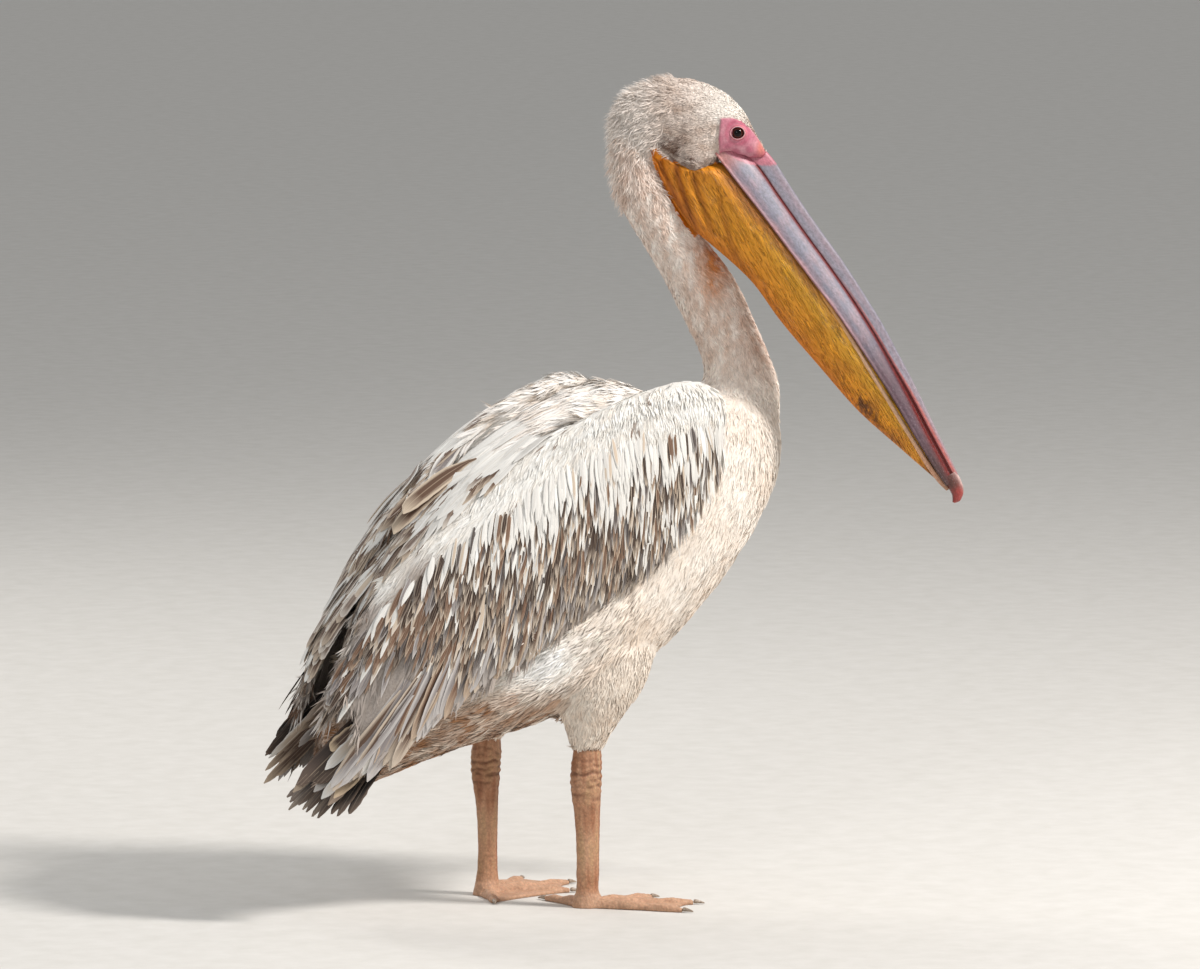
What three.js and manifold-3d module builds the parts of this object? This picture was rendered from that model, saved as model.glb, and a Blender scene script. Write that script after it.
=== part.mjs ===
// A young great white pelican, standing, as a still life-size model. Lengths are in millimetres.
// +X is the way the body faces, +Y the bird's left and +Z up. The origin is on the ground, below the
// middle of the model's box. Each named part of the bird is a closed solid that ends just short of its
// neighbours, and each solid takes in the feathers that lie over it.
import * as THREE from "three";
import { mergeVertices } from "three/addons/utils/BufferGeometryUtils.js";
import Module from "manifold-3d";

const wasm = await Module();
wasm.setup();

// ---- driving dimensions ----
const JOINT_GAP = 0.35; // left between two parts that meet
const CULMEN = 414; // length of the upper bill along its ridge
const BILL_DROP = 58.4; // degrees that the bill points below the level
const HEAD_TURN = -30; // degrees that the head is turned from the body's heading, towards the right
const HEAD_AT = [115, 0, 786]; // where the skull meets the neck
const EYE_AT = [102, 19, 18.5]; // centre of the left eyeball, in the head's frame
const EYE_RADIUS = 8;
const HOCK_HEIGHT = 138; // height of the ankle joint, one shank above the ground
const THIGH_END = 168; // height where the leg's feathers stop
const STANCE_HALF = 65; // from the middle of the body to each foot
const FOOT_AT = { right: 14, left: -33 }; // how far forward each shank stands
const FOOT_TURN = { right: -25, left: 15 }; // degrees that each foot is turned to the left
const TOE_LENGTHS = [64, 88, 112, 106]; // hind, inner, middle and outer toe, without the claws
const TOE_SPREADS = [128, 36, 4, -26]; // degrees of each toe towards the bird's midline
const WEB_THICKNESS = 3.5;
const CLAW_LENGTH = 12;
const SOLE_HEIGHT = 13; // thickness of the foot below the shank
const LEFT_WING_AHEAD = [-14, 12]; // of the right wing: at the wrist and at the tip
const LEFT_WING_DROP = 7;
const LEFT_TIP_RISE = 24; // of the left primaries over the right ones
const TAIL_FEATHERS = 11; // vanes that the edge of the folded tail shows

const SKIN_SIDES = 20; // facets round the trunk and head
const LIMB_SIDES = 12; // facets round the neck and legs
const MESH_TOLERANCE = 0.16; // how far a part's surface may move when its needless corners go

// ---- plumage and bare parts: colour, roughness, metalness ----
const FINISHES = {
  plumage: [0xe6dccb, 0.92, 0],
  wingCoverts: [0xcfc3b2, 0.9, 0],
  flightFeathers: [0x5d5049, 0.85, 0],
  bareFace: [0xc9667a, 0.6, 0],
  horn: [0x9b97ab, 0.45, 0],
  nail: [0xb8483f, 0.4, 0],
  pouch: [0xe09a1c, 0.55, 0],
  leg: [0xc58a63, 0.6, 0],
  claw: [0x8a7565, 0.5, 0],
  eye: [0x2a120c, 0.08, 0],
};

const { degToRad, lerp, smoothstep } = THREE.MathUtils;
const vec = (x, y, z) => new THREE.Vector3(x, y, z);

// ---- shapes ----

// Reads a table of rows, each [position, ...values], as one smooth curve of values over position.
function smoothTable(rows) {
  const places = rows.map((row) => row[0]);
  const values = rows.flatMap((row) => row.slice(1));
  const curve = new THREE.CubicInterpolant(places, values, rows[0].length - 1);
  return (place) => [...curve.evaluate(place)];
}

// Positions from start to end, closest together at the two ends, so that rounded ends stay round.
function roundedSteps(start, end, count) {
  return Array.from({ length: count + 1 }, (_, i) =>
    lerp(start, end, (1 - Math.cos((Math.PI * i) / count)) / 2),
  );
}

// A ring of points on an oval. A squareness of 2 is an ellipse, and more makes it boxier.
function oval(centre, side, up, halfWidth, halfHeight, sides, squareness = 2) {
  const bend = (value) => Math.sign(value) * Math.abs(value) ** (2 / squareness);
  return Array.from({ length: sides }, (_, i) => {
    const turn = (2 * Math.PI * i) / sides;
    return centre
      .clone()
      .addScaledVector(side, halfWidth * bend(Math.cos(turn)))
      .addScaledVector(up, halfHeight * bend(Math.sin(turn)));
  });
}

const meanOf = (points) =>
  points.reduce((sum, point) => sum.add(point), vec(0, 0, 0)).divideScalar(points.length);

// The same rings a little larger: each point moves out across its ring, and the two ends move apart.
function grownRings(rings, amount) {
  const middles = rings.map(meanOf);
  return rings.map((ring, r) => {
    const before = middles[Math.max(r - 1, 0)];
    const after = middles[Math.min(r + 1, rings.length - 1)];
    const axis = after.clone().sub(before).normalize();
    const push = r === 0 ? -amount : r === rings.length - 1 ? amount : 0;
    return ring.map((point, i) => {
      const along = ring[(i + 1) % ring.length].clone().sub(ring.at(i - 1));
      const outward = along.cross(axis).normalize();
      if (outward.dot(point.clone().sub(middles[r])) < 0) outward.negate();
      return point.clone().addScaledVector(outward, amount).addScaledVector(axis, push);
    });
  });
}

// A closed solid through rings that all have the same number of points, with a fan over each end.
function loft(rings, grow = 0) {
  const shaped = grow ? grownRings(rings, grow) : rings;
  const sides = shaped[0].length;
  const last = (shaped.length - 1) * sides;
  const points = [...shaped.flat(), meanOf(shaped[0]), meanOf(shaped.at(-1))];
  const faces = [];
  for (let i = 0; i < sides; i++) {
    const next = (i + 1) % sides;
    for (let row = 0; row < last; row += sides) {
      faces.push(row + i, row + next, row + sides + next);
      faces.push(row + i, row + sides + next, row + sides + i);
    }
    faces.push(points.length - 2, next, i, points.length - 1, last + i, last + next);
  }
  return solidOf(new THREE.BufferGeometry().setFromPoints(points).setIndex(faces));
}

// A three.js geometry as a solid that can be joined and cut.
function solidOf(geometry) {
  const bare = geometry.clone();
  bare.deleteAttribute("normal");
  bare.deleteAttribute("uv");
  const merged = mergeVertices(bare, 1e-3);
  const corners = Uint32Array.from(merged.index.array);
  const shape = (triVerts) =>
    new wasm.Manifold(
      new wasm.Mesh({ numProp: 3, vertProperties: merged.attributes.position.array, triVerts }),
    );
  const made = shape(corners);
  return made.volume() > 0 ? made : shape(corners.reverse());
}

// The solid's largest body, without crumbs that a cut has left beside it.
function mainBody(solid) {
  return solid.decompose().sort((a, b) => b.volume() - a.volume())[0];
}

const cutBy = (solid, ...tools) =>
  mainBody(tools.reduce((rest, tool) => rest.subtract(tool), solid));

// A solid in one turned and moved frame, such as the head's, put into the bird's frame.
function placed(solid, turnY, turnZ, at) {
  return solid.rotate([0, turnY, 0]).rotate([0, 0, turnZ]).translate(at);
}

const model = new THREE.Group();

function addPart(name, solid, finish) {
  const mesh = solid.simplify(MESH_TOLERANCE).getMesh();
  const geometry = new THREE.BufferGeometry()
    .setAttribute("position", new THREE.BufferAttribute(mesh.vertProperties, 3))
    .setIndex(new THREE.BufferAttribute(mesh.triVerts, 1));
  geometry.computeVertexNormals();
  const [color, roughness, metalness] = FINISHES[finish];
  const material = new THREE.MeshStandardMaterial({ color, roughness, metalness });
  const part = new THREE.Mesh(geometry, material);
  part.name = name;
  model.add(part);
}

// ---- trunk: lofted from the breast to the tail root ----
const trunkRings = (() => {
  // forward, underside height, back height, half-width
  const table = smoothTable([
    [-262, 142, 196, 22],
    [-215, 138, 318, 50],
    [-150, 158, 402, 80],
    [-80, 176, 462, 104],
    [0, 193, 512, 116],
    [80, 226, 530, 114],
    [150, 282, 532, 103],
    [205, 338, 532, 84],
    [250, 396, 524, 60],
    [284, 452, 490, 16],
  ]);
  return roundedSteps(-262, 284, 14).map((forward) => {
    const [under, back, half] = table(forward);
    const centre = vec(forward, 0, (under + back) / 2);
    return oval(centre, vec(0, 1, 0), vec(0, 0, 1), half, (back - under) / 2, SKIN_SIDES, 2.4);
  });
})();

// ---- neck: a thick S from the breast to the skull, in two lengths ----
const NECK_SPLIT = 0.52; // share of the length
const NECK_SLIMNESS = 0.94; // width over depth
function neckRings(from, to, count) {
  const line = new THREE.CatmullRomCurve3([
    vec(184, 0, 430),
    vec(222, 0, 482),
    vec(236, 0, 535),
    vec(229, 0, 568),
    vec(215, 0, 597),
    vec(197, 0, 629),
    vec(178, 0, 657),
    vec(160, 0, 681),
    vec(140, 0, 707),
    vec(121, 0, 733),
    vec(108, 0, 762),
    vec(104, 0, 790),
    vec(112, -4, 815),
  ]);
  // share of the length, half-depth from front to back
  const sizes = smoothTable([
    [0, 62],
    [0.15, 57],
    [0.27, 40],
    [0.35, 35],
    [0.51, 35],
    [0.6, 31.5],
    [0.73, 28.3],
    [0.8, 27.4],
    [0.88, 24.5],
    [0.94, 22],
    [1, 20],
  ]);
  return Array.from({ length: count + 1 }, (_, i) => {
    const share = lerp(from, to, i / count);
    const along = line.getTangentAt(share);
    const side = vec(0, 1, 0);
    const up = along.clone().cross(side).normalize();
    const [depth] = sizes(share);
    return oval(line.getPointAt(share), side, up, depth * NECK_SLIMNESS, depth, LIMB_SIDES);
  });
}

// ---- head, in its own frame: +X forward over the bill, origin where it meets the neck ----
const headRings = (() => {
  // forward, underside height, crown height, half-width
  const table = smoothTable([
    [-32, 12, 32, 9],
    [-22, -8, 54, 21],
    [-2, -20, 66, 29],
    [26, -22, 76, 34],
    [50, -20, 77, 34],
    [75, -18, 70, 29],
    [97, -17, 58, 25.5],
    [115, -16, 36, 22],
    [128, -13, 8, 15],
    [136, -9, -6, 6],
  ]);
  return roundedSteps(-32, 136, 12).map((forward) => {
    const [under, crown, half] = table(forward);
    const centre = vec(forward, 0, (under + crown) / 2);
    return oval(centre, vec(0, 1, 0), vec(0, 0, 1), half, (crown - under) / 2, SKIN_SIDES, 2.1);
  });
})();

// ---- bill, in its own frame: +X along the bill from its root, +Z over its ridge ----
const BILL_ROOT = [111, 0, 0]; // in the head's frame
const upperBillRings = (() => {
  // along the bill, edge height, ridge height, half-width of the edge, half-width of the ridge
  const table = smoothTable([
    [-16, -30, 8, 19, 6],
    [20, -26, 17.8, 22.5, 6.5],
    [60, -21.5, 19, 22.5, 6],
    [108, -17, 21.2, 21, 5.5],
    [151, -13, 24.4, 20, 5],
    [195, -8.5, 25.6, 20, 5],
    [231, -7, 25.6, 20.5, 4.5],
    [270, -6, 23.3, 20.5, 4.2],
    [309, -5.5, 20.5, 20.5, 4],
    [353, -6.5, 16, 18, 4],
    [394, -6.5, 12, 12.5, 4],
    [412, -6, 10, 9.5, 4],
  ]);
  return roundedSteps(-16, 412, 13).map((along) => {
    const [edge, ridge, half, top] = table(along);
    const groove = lerp(edge, ridge, 0.62);
    // Half of the section, from the ridge down past the groove to the cutting edge and under it.
    const right = [
      [top * 0.55, ridge],
      [top, lerp(groove, ridge, 0.62)],
      [top + 2, groove],
      [half * 0.62, lerp(edge, groove, 0.82)],
      [half * 0.9, lerp(edge, groove, 0.42)],
      [half, lerp(edge, groove, 0.1)],
      [half * 0.93, edge],
    ];
    const under = edge + 1.5;
    const left = right.map(([y, z]) => [-y, z]).reverse();
    return [...right, [0, under], ...left].map(([y, z]) => vec(along, y, z));
  });
})();

const nailRings = (() => {
  // share of the hook, forward, height, half-width, half-height
  const table = smoothTable([
    [0, 410, 2.5, 9, 7],
    [0.4, 419, 3.5, 9, 7.4],
    [0.75, CULMEN + 14, -1, 6.5, 6],
    [1, CULMEN + 18, -9, 2.4, 2.4],
  ]);
  return Array.from({ length: 6 }, (_, i) => {
    const [along, height, half, thick] = table(i / 5);
    const tilt = lerp(0, 62, (i / 5) ** 2);
    const up = vec(Math.sin(degToRad(tilt)), 0, Math.cos(degToRad(tilt)));
    return oval(vec(along, 0, height), vec(0, 1, 0), up, half, thick, 12);
  });
})();

// One of the two thin bones of the lower bill, which run under the upper bill and meet at its tip.
function jawBoneRings(side) {
  // along the bill, out from the middle, height
  const table = smoothTable([
    [-20, 20, -35],
    [20, 19.5, -31.5],
    [75, 18, -26],
    [150, 16.5, -18.5],
    [195, 16.5, -14.5],
    [280, 15.5, -11.5],
    [345, 12, -12],
    [390, 6.5, -12],
    [409, 1.5, -12],
  ]);
  return roundedSteps(-20, 409, 10).map((along) => {
    const [out, height] = table(along);
    return oval(vec(along, out * side, height), vec(0, 1, 0), vec(0, 0, 1), 3.6, 5.2, 8, 2.6);
  });
}
const lowerBill = (grow = 0) =>
  loft(jawBoneRings(-1), grow).add(loft(jawBoneRings(1), grow));

const pouchRings = (() => {
  // along the bill, top height, lowest height, half-width at the top, half-width near the bottom
  const table = smoothTable([
    [-57, -70, -80, 34, 30],
    [-42, -62, -88, 34, 26],
    [-20, -52, -93, 32, 20],
    [-6, -38, -94.5, 30, 16],
    [12, -27, -94, 27, 14],
    [40, -25, -91.5, 25, 12],
    [67, -22, -83, 24, 10.5],
    [92, -19.5, -75, 22, 9.5],
    [119, -17, -68, 20.5, 8.5],
    [172, -11.5, -63.4, 19, 7.5],
    [236, -8, -53.6, 18.5, 6.5],
    [298, -6.5, -43, 17, 5.5],
    [352, -7, -27, 12, 4.5],
    [402, -7.5, -11.5, 5, 2.5],
  ]);
  return roundedSteps(-57, 402, 12).map((along) => {
    const [top, lowest, wide, narrow] = table(along);
    const right = [
      [wide, top - 1],
      [wide, lerp(top, lowest, 0.16)],
      [lerp(wide, narrow, 0.35), lerp(top, lowest, 0.45)],
      [lerp(wide, narrow, 0.8), lerp(top, lowest, 0.75)],
      [narrow, lerp(top, lowest, 0.93)],
      [narrow * 0.45, lowest],
    ];
    const left = right.map(([y, z]) => [-y, z]).reverse();
    return [[0, top], ...right, ...left].map(([y, z]) => vec(along, y, z));
  });
})();

// ---- wing, folded: side is -1 on the right and 1 on the left ----
function wingRings(side) {
  const lag = side < 0 ? [0, 0] : LEFT_WING_AHEAD;
  const drop = side < 0 ? 0 : LEFT_WING_DROP;
  // share from the wrist, upper edge forward/out/height, lower edge forward/out/height,
  // outward bulge between the edges, thickness of the upper edge
  const table = smoothTable([
    [0, 147, 122, 518, 144, 124, 488, 0, 17],
    [0.05, 140, 121, 542, 138, 125, 458, 4, 36],
    [0.14, 110, 118, 557, 114, 126, 416, 8, 45],
    [0.28, 48, 105, 545, 68, 124, 362, 15, 41],
    [0.43, -16, 91, 518, 8, 120, 328, 20, 34],
    [0.58, -82, 76, 480, -56, 114, 282, 22, 27],
    [0.7, -136, 64, 445, -112, 104, 256, 20, 22],
    [0.82, -192, 53, 396, -176, 90, 222, 15, 17],
    [0.92, -240, 46, 338, -222, 76, 184, 9, 13],
    [1, -272, 42, 268, -250, 64, 162, 3, 8],
  ]);
  const rows = 8; // points from the upper to the lower edge, on each face
  const edge = 4.5; // thickness at the lower edge, where only feather tips lie
  return [0, 0.02, ...roundedSteps(0.05, 1, 12)].map((share) => {
    const [ux, uy, uz, lx, ly, lz, bulge, thick] = table(share);
    const upper = vec(ux, uy, uz);
    const lower = vec(lx, ly, lz);
    const across = lower.clone().sub(upper).normalize();
    const outward = vec(0, 1, 0).addScaledVector(across, -across.y).normalize();
    const face = (down, sign) => {
      const rounding = Math.sqrt(Math.min(1, down / 0.12)) * 0.86 + 0.14;
      const half = (lerp(thick, edge, down ** 0.8) * rounding) / 2;
      const middle = upper.clone().lerp(lower, down);
      middle.addScaledVector(vec(0, 1, 0), bulge * Math.sin(Math.PI * down ** 0.9));
      return middle.addScaledVector(outward, sign * half);
    };
    const steps = Array.from({ length: rows }, (_, i) => (i / (rows - 1)) ** 1.35);
    const outer = steps.map((down) => face(down, 1));
    const inner = steps.map((down) => face(down, -1)).reverse();
    const ahead = lerp(...lag, share);
    return [...outer, ...inner].map(
      (point) => vec(point.x + ahead, point.y * side, point.z - drop),
    );
  });
}

// ---- scapulars: the long leaf of feathers that lies along the back beside each wing ----
function scapularRings(side) {
  // forward, out, height, half-width, half-thickness
  const table = smoothTable([
    [-276, 30, 214, 5, 2.5],
    [-245, 33, 290, 17, 7],
    [-200, 38, 366, 26, 9],
    [-130, 43, 440, 34, 11],
    [-60, 47, 491, 38, 13],
    [0, 49, 522, 37, 14],
    [50, 51, 538, 28, 12],
    [80, 54, 537, 14, 7],
    [98, 57, 533, 2.5, 2],
  ]);
  return roundedSteps(-276, 98, 13).map((forward) => {
    const [out, height, half, thick] = table(forward);
    const [, ahead] = table(Math.min(forward + 4, 98));
    const [, behind] = table(Math.max(forward - 4, -276));
    const along = vec(8, 0, ahead - behind).normalize();
    const across = vec(0, side * 0.94, -0.34);
    const up = along.clone().cross(across).normalize().multiplyScalar(side);
    return oval(vec(forward, out * side, height), across, up, half, thick, 12);
  });
}

// ---- primaries: the dark wing tip, between the tail and the lower edge of the wing ----
function primaryRings(side) {
  // share from the root, forward, out, height, half-depth, half-thickness
  const table = smoothTable([
    [0, -120, 58, 300, 26, 6],
    [0.3, -178, 52, 258, 30, 7],
    [0.6, -232, 44, 206, 27, 6],
    [0.85, -276, 38, 160, 18, 4.5],
    [1, -302, 34, 134, 6, 2.5],
  ]);
  return Array.from({ length: 10 }, (_, i) => {
    const [forward, out, height, half, thick] = table(i / 9);
    const across = vec(0.55, side * 0.45, -0.7).normalize();
    const up = vec(0, side, 0).addScaledVector(across, -across.y * side).normalize();
    const rise = side < 0 ? 0 : LEFT_TIP_RISE * (i / 9);
    return oval(vec(forward - rise / 2, out * side, height + rise), across, up, half, thick, 10);
  });
}

// ---- tail: a short fan, a little higher in its middle, with a stepped edge of feather ends ----
const tailRings = (() => {
  const root = vec(-196, 0, 190);
  const reach = 122;
  const slope = 40; // degrees that the tail points below the level
  const spread = 22; // degrees from the middle to each side
  const rows = Array.from({ length: 2 * TAIL_FEATHERS + 1 }, (_, i) => i / TAIL_FEATHERS - 1);
  return rows.map((across, i) => {
    const turn = degToRad(spread * across);
    const notch = i % 2 ? 0 : 7;
    const length = reach - 14 * across ** 2 - notch;
    const drop = 9 * across ** 2;
    const point = (share, lift) => {
      const back = length * share * Math.cos(turn);
      const out = length * share * Math.sin(turn) + 30 * across;
      const rad = degToRad(slope);
      return vec(
        root.x - back * Math.cos(rad) - lift * Math.sin(rad),
        out,
        root.z - back * Math.sin(rad) + lift * Math.cos(rad) - drop,
      );
    };
    const edge = Math.abs(across) > 0.99 ? 0.5 : 1;
    return [
      point(0, 7 * edge),
      point(0.55, 5 * edge),
      point(1, 1.4 * edge),
      point(1, -1.4 * edge),
      point(0.55, -5 * edge),
      point(0, -7 * edge),
    ];
  });
})();

// ---- leg: a feathered thigh, a bare shank with a thick ankle, and a foot webbed over all four toes ----
function thighRings(side, forward) {
  // height, forward of the shank, half-length, half-width
  const table = smoothTable([
    [THIGH_END, 0, 19.5, 17],
    [182, 2, 25, 22],
    [205, 8, 37, 31],
    [232, 17, 51, 39],
    [275, 26, 58, 42],
  ]);
  return Array.from({ length: 8 }, (_, i) => {
    const height = lerp(THIGH_END, 275, i / 7);
    const [ahead, long, half] = table(height);
    const centre = vec(forward + ahead, side * (STANCE_HALF - 0.04 * (height - THIGH_END)), height);
    return oval(centre, vec(1, 0, 0), vec(0, 1, 0), long, half, LIMB_SIDES);
  });
}

function shankRings(side, forward) {
  const foot = SOLE_HEIGHT + JOINT_GAP;
  const knee = THIGH_END - JOINT_GAP;
  // height, forward, half-length, half-width
  const table = smoothTable([
    [foot, 0, 13.5, 11],
    [24, 0, 11.5, 9],
    [60, 0.5, 11, 8],
    [100, -0.5, 12.8, 9.2],
    [HOCK_HEIGHT - 8, -2, 16, 13],
    [HOCK_HEIGHT + 12, -1, 17, 14],
    [knee, 0, 15, 12.5],
  ]);
  return [foot, 18, 26, 48, 75, 100, 116, 128, 140, 152, knee].map((height) => {
    const [ahead, long, half] = table(height);
    const centre = vec(forward + ahead, side * STANCE_HALF, height);
    return oval(centre, vec(1, 0, 0), vec(0, 1, 0), long, half, LIMB_SIDES);
  });
}

// A toe in the foot's frame, lying on the ground from the ankle out, with its knuckles.
function toeRings(length, heading) {
  const along = vec(Math.cos(heading), Math.sin(heading), 0);
  const side = vec(-Math.sin(heading), Math.cos(heading), 0);
  return Array.from({ length: 6 }, (_, i) => {
    const share = i / 5;
    const knuckle = 0.7 * Math.cos(share * 5 * Math.PI);
    const half = lerp(7.6, 4, share) + knuckle;
    const centre = along.clone().multiplyScalar(share * length).setZ(half * 0.55);
    return oval(centre, side, vec(0, 0, 1), half, half * 0.95, 8);
  });
}

function clawRings(length, heading) {
  const along = vec(Math.cos(heading), Math.sin(heading), 0);
  const side = vec(-Math.sin(heading), Math.cos(heading), 0);
  return Array.from({ length: 4 }, (_, i) => {
    const share = i / 3;
    const half = lerp(3, 0.7, share ** 1.3);
    const reach = length + JOINT_GAP + share * CLAW_LENGTH;
    const centre = along.clone().multiplyScalar(reach).setZ(3.4 - 2 * share ** 2);
    return oval(centre, side, vec(0, 0, 1), half, half, 6);
  });
}

const aboveGround = solidOf(new THREE.BoxGeometry(400, 400, 60).translate(0, 0, 30));
const toeHeadings = (side) => TOE_SPREADS.map((spread) => degToRad(-side * spread));

// The web runs from claw to claw in shallow curves and reaches the hind toe.
function webOf(side) {
  const headings = toeHeadings(side);
  const tip = (i, share) => {
    const reach = TOE_LENGTHS[i] * share;
    return [Math.cos(headings[i]) * reach, Math.sin(headings[i]) * reach];
  };
  const outline = new THREE.Shape().moveTo(...tip(0, 0.97));
  for (let i = 0; i < 3; i++) {
    const [ax, ay] = tip(i, 0.97);
    const [bx, by] = tip(i + 1, 0.97);
    outline.quadraticCurveTo((ax + bx) * 0.43, (ay + by) * 0.43, bx, by);
  }
  outline.lineTo(-11, side * 6).closePath();
  const plate = new THREE.ExtrudeGeometry(outline, {
    depth: WEB_THICKNESS,
    bevelEnabled: false,
    curveSegments: 6,
  });
  return solidOf(plate);
}

function footOf(side) {
  const toes = toeHeadings(side).map((heading, i) => loft(toeRings(TOE_LENGTHS[i], heading)));
  const heel = loft(
    [0, 5, SOLE_HEIGHT].map((height) => {
      const narrowing = 0.22 * height;
      return oval(vec(0, 0, height), vec(1, 0, 0), vec(0, 1, 0), 17 - narrowing, 14.5 - narrowing, 12);
    }),
  );
  const whole = toes.reduce((sum, toe) => sum.add(toe), webOf(side)).add(heel);
  return mainBody(whole.intersect(aboveGround));
}

// ---- assembly ----
const inHead = (solid) => placed(solid, 0, HEAD_TURN, HEAD_AT);
const inBill = (solid) => inHead(solid.rotate([0, BILL_DROP, 0]).translate(BILL_ROOT));
const sides = { right: -1, left: 1 };

const upperNeck = neckRings(NECK_SPLIT + 0.0006, 1, 10);
const lowerNeck = neckRings(0, NECK_SPLIT, 9);
const trunkRoom = loft(trunkRings, JOINT_GAP);
const headRoom = inHead(loft(headRings, JOINT_GAP));
const billRoom = inBill(loft(upperBillRings, JOINT_GAP));
const neckRoom = loft(upperNeck, JOINT_GAP);
const jawRoom = inBill(lowerBill(JOINT_GAP));

const eyeball = (side, radius) => {
  const ball = new THREE.SphereGeometry(radius, 12, 7);
  return inHead(solidOf(ball).translate([EYE_AT[0], side * EYE_AT[1], EYE_AT[2]]));
};

const wings = Object.values(sides).map((side) => loft(wingRings(side), JOINT_GAP));
const backs = Object.values(sides).map((side) => loft(scapularRings(side), JOINT_GAP));
const tips = Object.values(sides).map((side) => loft(primaryRings(side), JOINT_GAP));
const tailRoom = loft(tailRings, JOINT_GAP);

addPart("trunk", cutBy(loft(trunkRings), ...wings, ...backs, ...tips, tailRoom), "plumage");
addPart("neck_lower", cutBy(loft(lowerNeck), trunkRoom, ...wings), "plumage");
addPart("neck_upper", cutBy(loft(upperNeck), headRoom), "plumage");
const sockets = Object.values(sides).map((side) => eyeball(side, EYE_RADIUS + JOINT_GAP));
addPart("head", cutBy(inHead(loft(headRings)), billRoom, ...sockets), "plumage");
addPart("upper_bill", inBill(loft(upperBillRings)), "horn");
addPart("bill_nail", cutBy(inBill(loft(nailRings)), billRoom), "nail");
addPart("lower_bill", cutBy(inBill(lowerBill()), billRoom, headRoom, neckRoom), "pouch");
addPart("pouch", cutBy(inBill(loft(pouchRings)), billRoom, headRoom, neckRoom, jawRoom), "pouch");
addPart("tail", cutBy(loft(tailRings), ...tips, ...backs), "flightFeathers");

for (const [name, side] of Object.entries(sides)) {
  const forward = FOOT_AT[name];
  const ankle = [forward, side * STANCE_HALF, 0];
  const heading = FOOT_TURN[name];
  const wing = side < 0 ? wings[0] : wings[1];
  addPart(`eye_${name}`, eyeball(side, EYE_RADIUS), "eye");
  addPart(`wing_${name}`, cutBy(loft(wingRings(side)), ...backs), "wingCoverts");
  addPart(`scapulars_${name}`, loft(scapularRings(side)), "wingCoverts");
  addPart(`primaries_${name}`, cutBy(loft(primaryRings(side)), wing, ...backs), "flightFeathers");
  addPart(`thigh_${name}`, cutBy(loft(thighRings(side, forward)), trunkRoom, wing), "plumage");
  const inFoot = (solid) => placed(solid, 0, heading, ankle);
  addPart(`shank_${name}`, loft(shankRings(side, forward)), "leg");
  addPart(`foot_${name}`, inFoot(footOf(side)), "leg");
  toeHeadings(side).forEach((toe, i) => {
    addPart(`claw_${name}_${i + 1}`, inFoot(loft(clawRings(TOE_LENGTHS[i], toe))), "claw");
  });
}

// The origin goes to the ground, below the middle of the whole model's box.
const box = new THREE.Box3().setFromObject(model);
const middle = box.getCenter(vec(0, 0, 0));
model.position.set(-middle.x, -middle.y, -box.min.z);

export default model;
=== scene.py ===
import math
import bpy
import numpy as np
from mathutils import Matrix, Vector
from mathutils.bvhtree import BVHTree


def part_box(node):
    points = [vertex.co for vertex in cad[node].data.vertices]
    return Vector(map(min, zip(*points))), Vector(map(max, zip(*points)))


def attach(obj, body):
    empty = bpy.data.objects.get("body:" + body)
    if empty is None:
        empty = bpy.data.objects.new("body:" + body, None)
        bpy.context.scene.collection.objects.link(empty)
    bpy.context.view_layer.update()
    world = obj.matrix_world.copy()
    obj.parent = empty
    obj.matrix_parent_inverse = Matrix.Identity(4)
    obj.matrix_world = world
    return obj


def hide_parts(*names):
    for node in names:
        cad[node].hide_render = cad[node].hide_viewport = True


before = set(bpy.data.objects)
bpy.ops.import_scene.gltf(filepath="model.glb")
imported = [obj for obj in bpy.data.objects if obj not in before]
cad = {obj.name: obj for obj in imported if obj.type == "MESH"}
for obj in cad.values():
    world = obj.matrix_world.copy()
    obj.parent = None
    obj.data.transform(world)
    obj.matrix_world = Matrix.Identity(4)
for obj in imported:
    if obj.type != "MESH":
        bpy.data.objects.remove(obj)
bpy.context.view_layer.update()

# ------------------------------------------------------------------ measures
# Lengths here are in millimetres in the bird's own frame: +X ahead, +Y its left, +Z up.
HEAD_AT = np.array([115.0, 0.0, 786.0])
HEAD_TURN = -30.0
EYE_AT = np.array([102.0, 19.0, 18.5])
EYE_RADIUS = 8.0
BILL_ROOT = np.array([111.0, 0.0, 0.0])
BILL_DROP = 58.4
HOCK = 138.0
WAVES = 7  # sine waves summed for each smooth random value


def turned(points, degrees):
    """Points turned about the vertical."""
    points = np.atleast_2d(np.asarray(points, float))
    c, s = math.cos(math.radians(degrees)), math.sin(math.radians(degrees))
    x, y = points[..., 0], points[..., 1]
    return np.stack([c * x - s * y, s * x + c * y, points[..., 2]], -1)


def head_to_bird(points):
    return turned(points, HEAD_TURN) + HEAD_AT


def bird_to_head(points):
    return turned(np.atleast_2d(points) - HEAD_AT, -HEAD_TURN)


def bill_to_bird(points):
    c, s = math.cos(math.radians(BILL_DROP)), math.sin(math.radians(BILL_DROP))
    along, out, up = points[..., 0], points[..., 1], points[..., 2]
    in_head = np.stack([c * along + s * up, out, -s * along + c * up], -1)
    return head_to_bird(in_head + BILL_ROOT)


# Where the bird's frame lies in the scene, found from the middle of its right eye.
right_eye = head_to_bird(EYE_AT * [1, -1, 1])[0]
eye_low, eye_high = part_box("eye_right")
SHIFT = (np.array(eye_low) + np.array(eye_high)) / 2 * 1000 - right_eye


def to_row(points):
    """From the bird's frame in millimetres to the scene in metres."""
    return (np.atleast_2d(points) + SHIFT) / 1000


def to_bird(points):
    return np.atleast_2d(points) * 1000 - SHIFT


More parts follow.
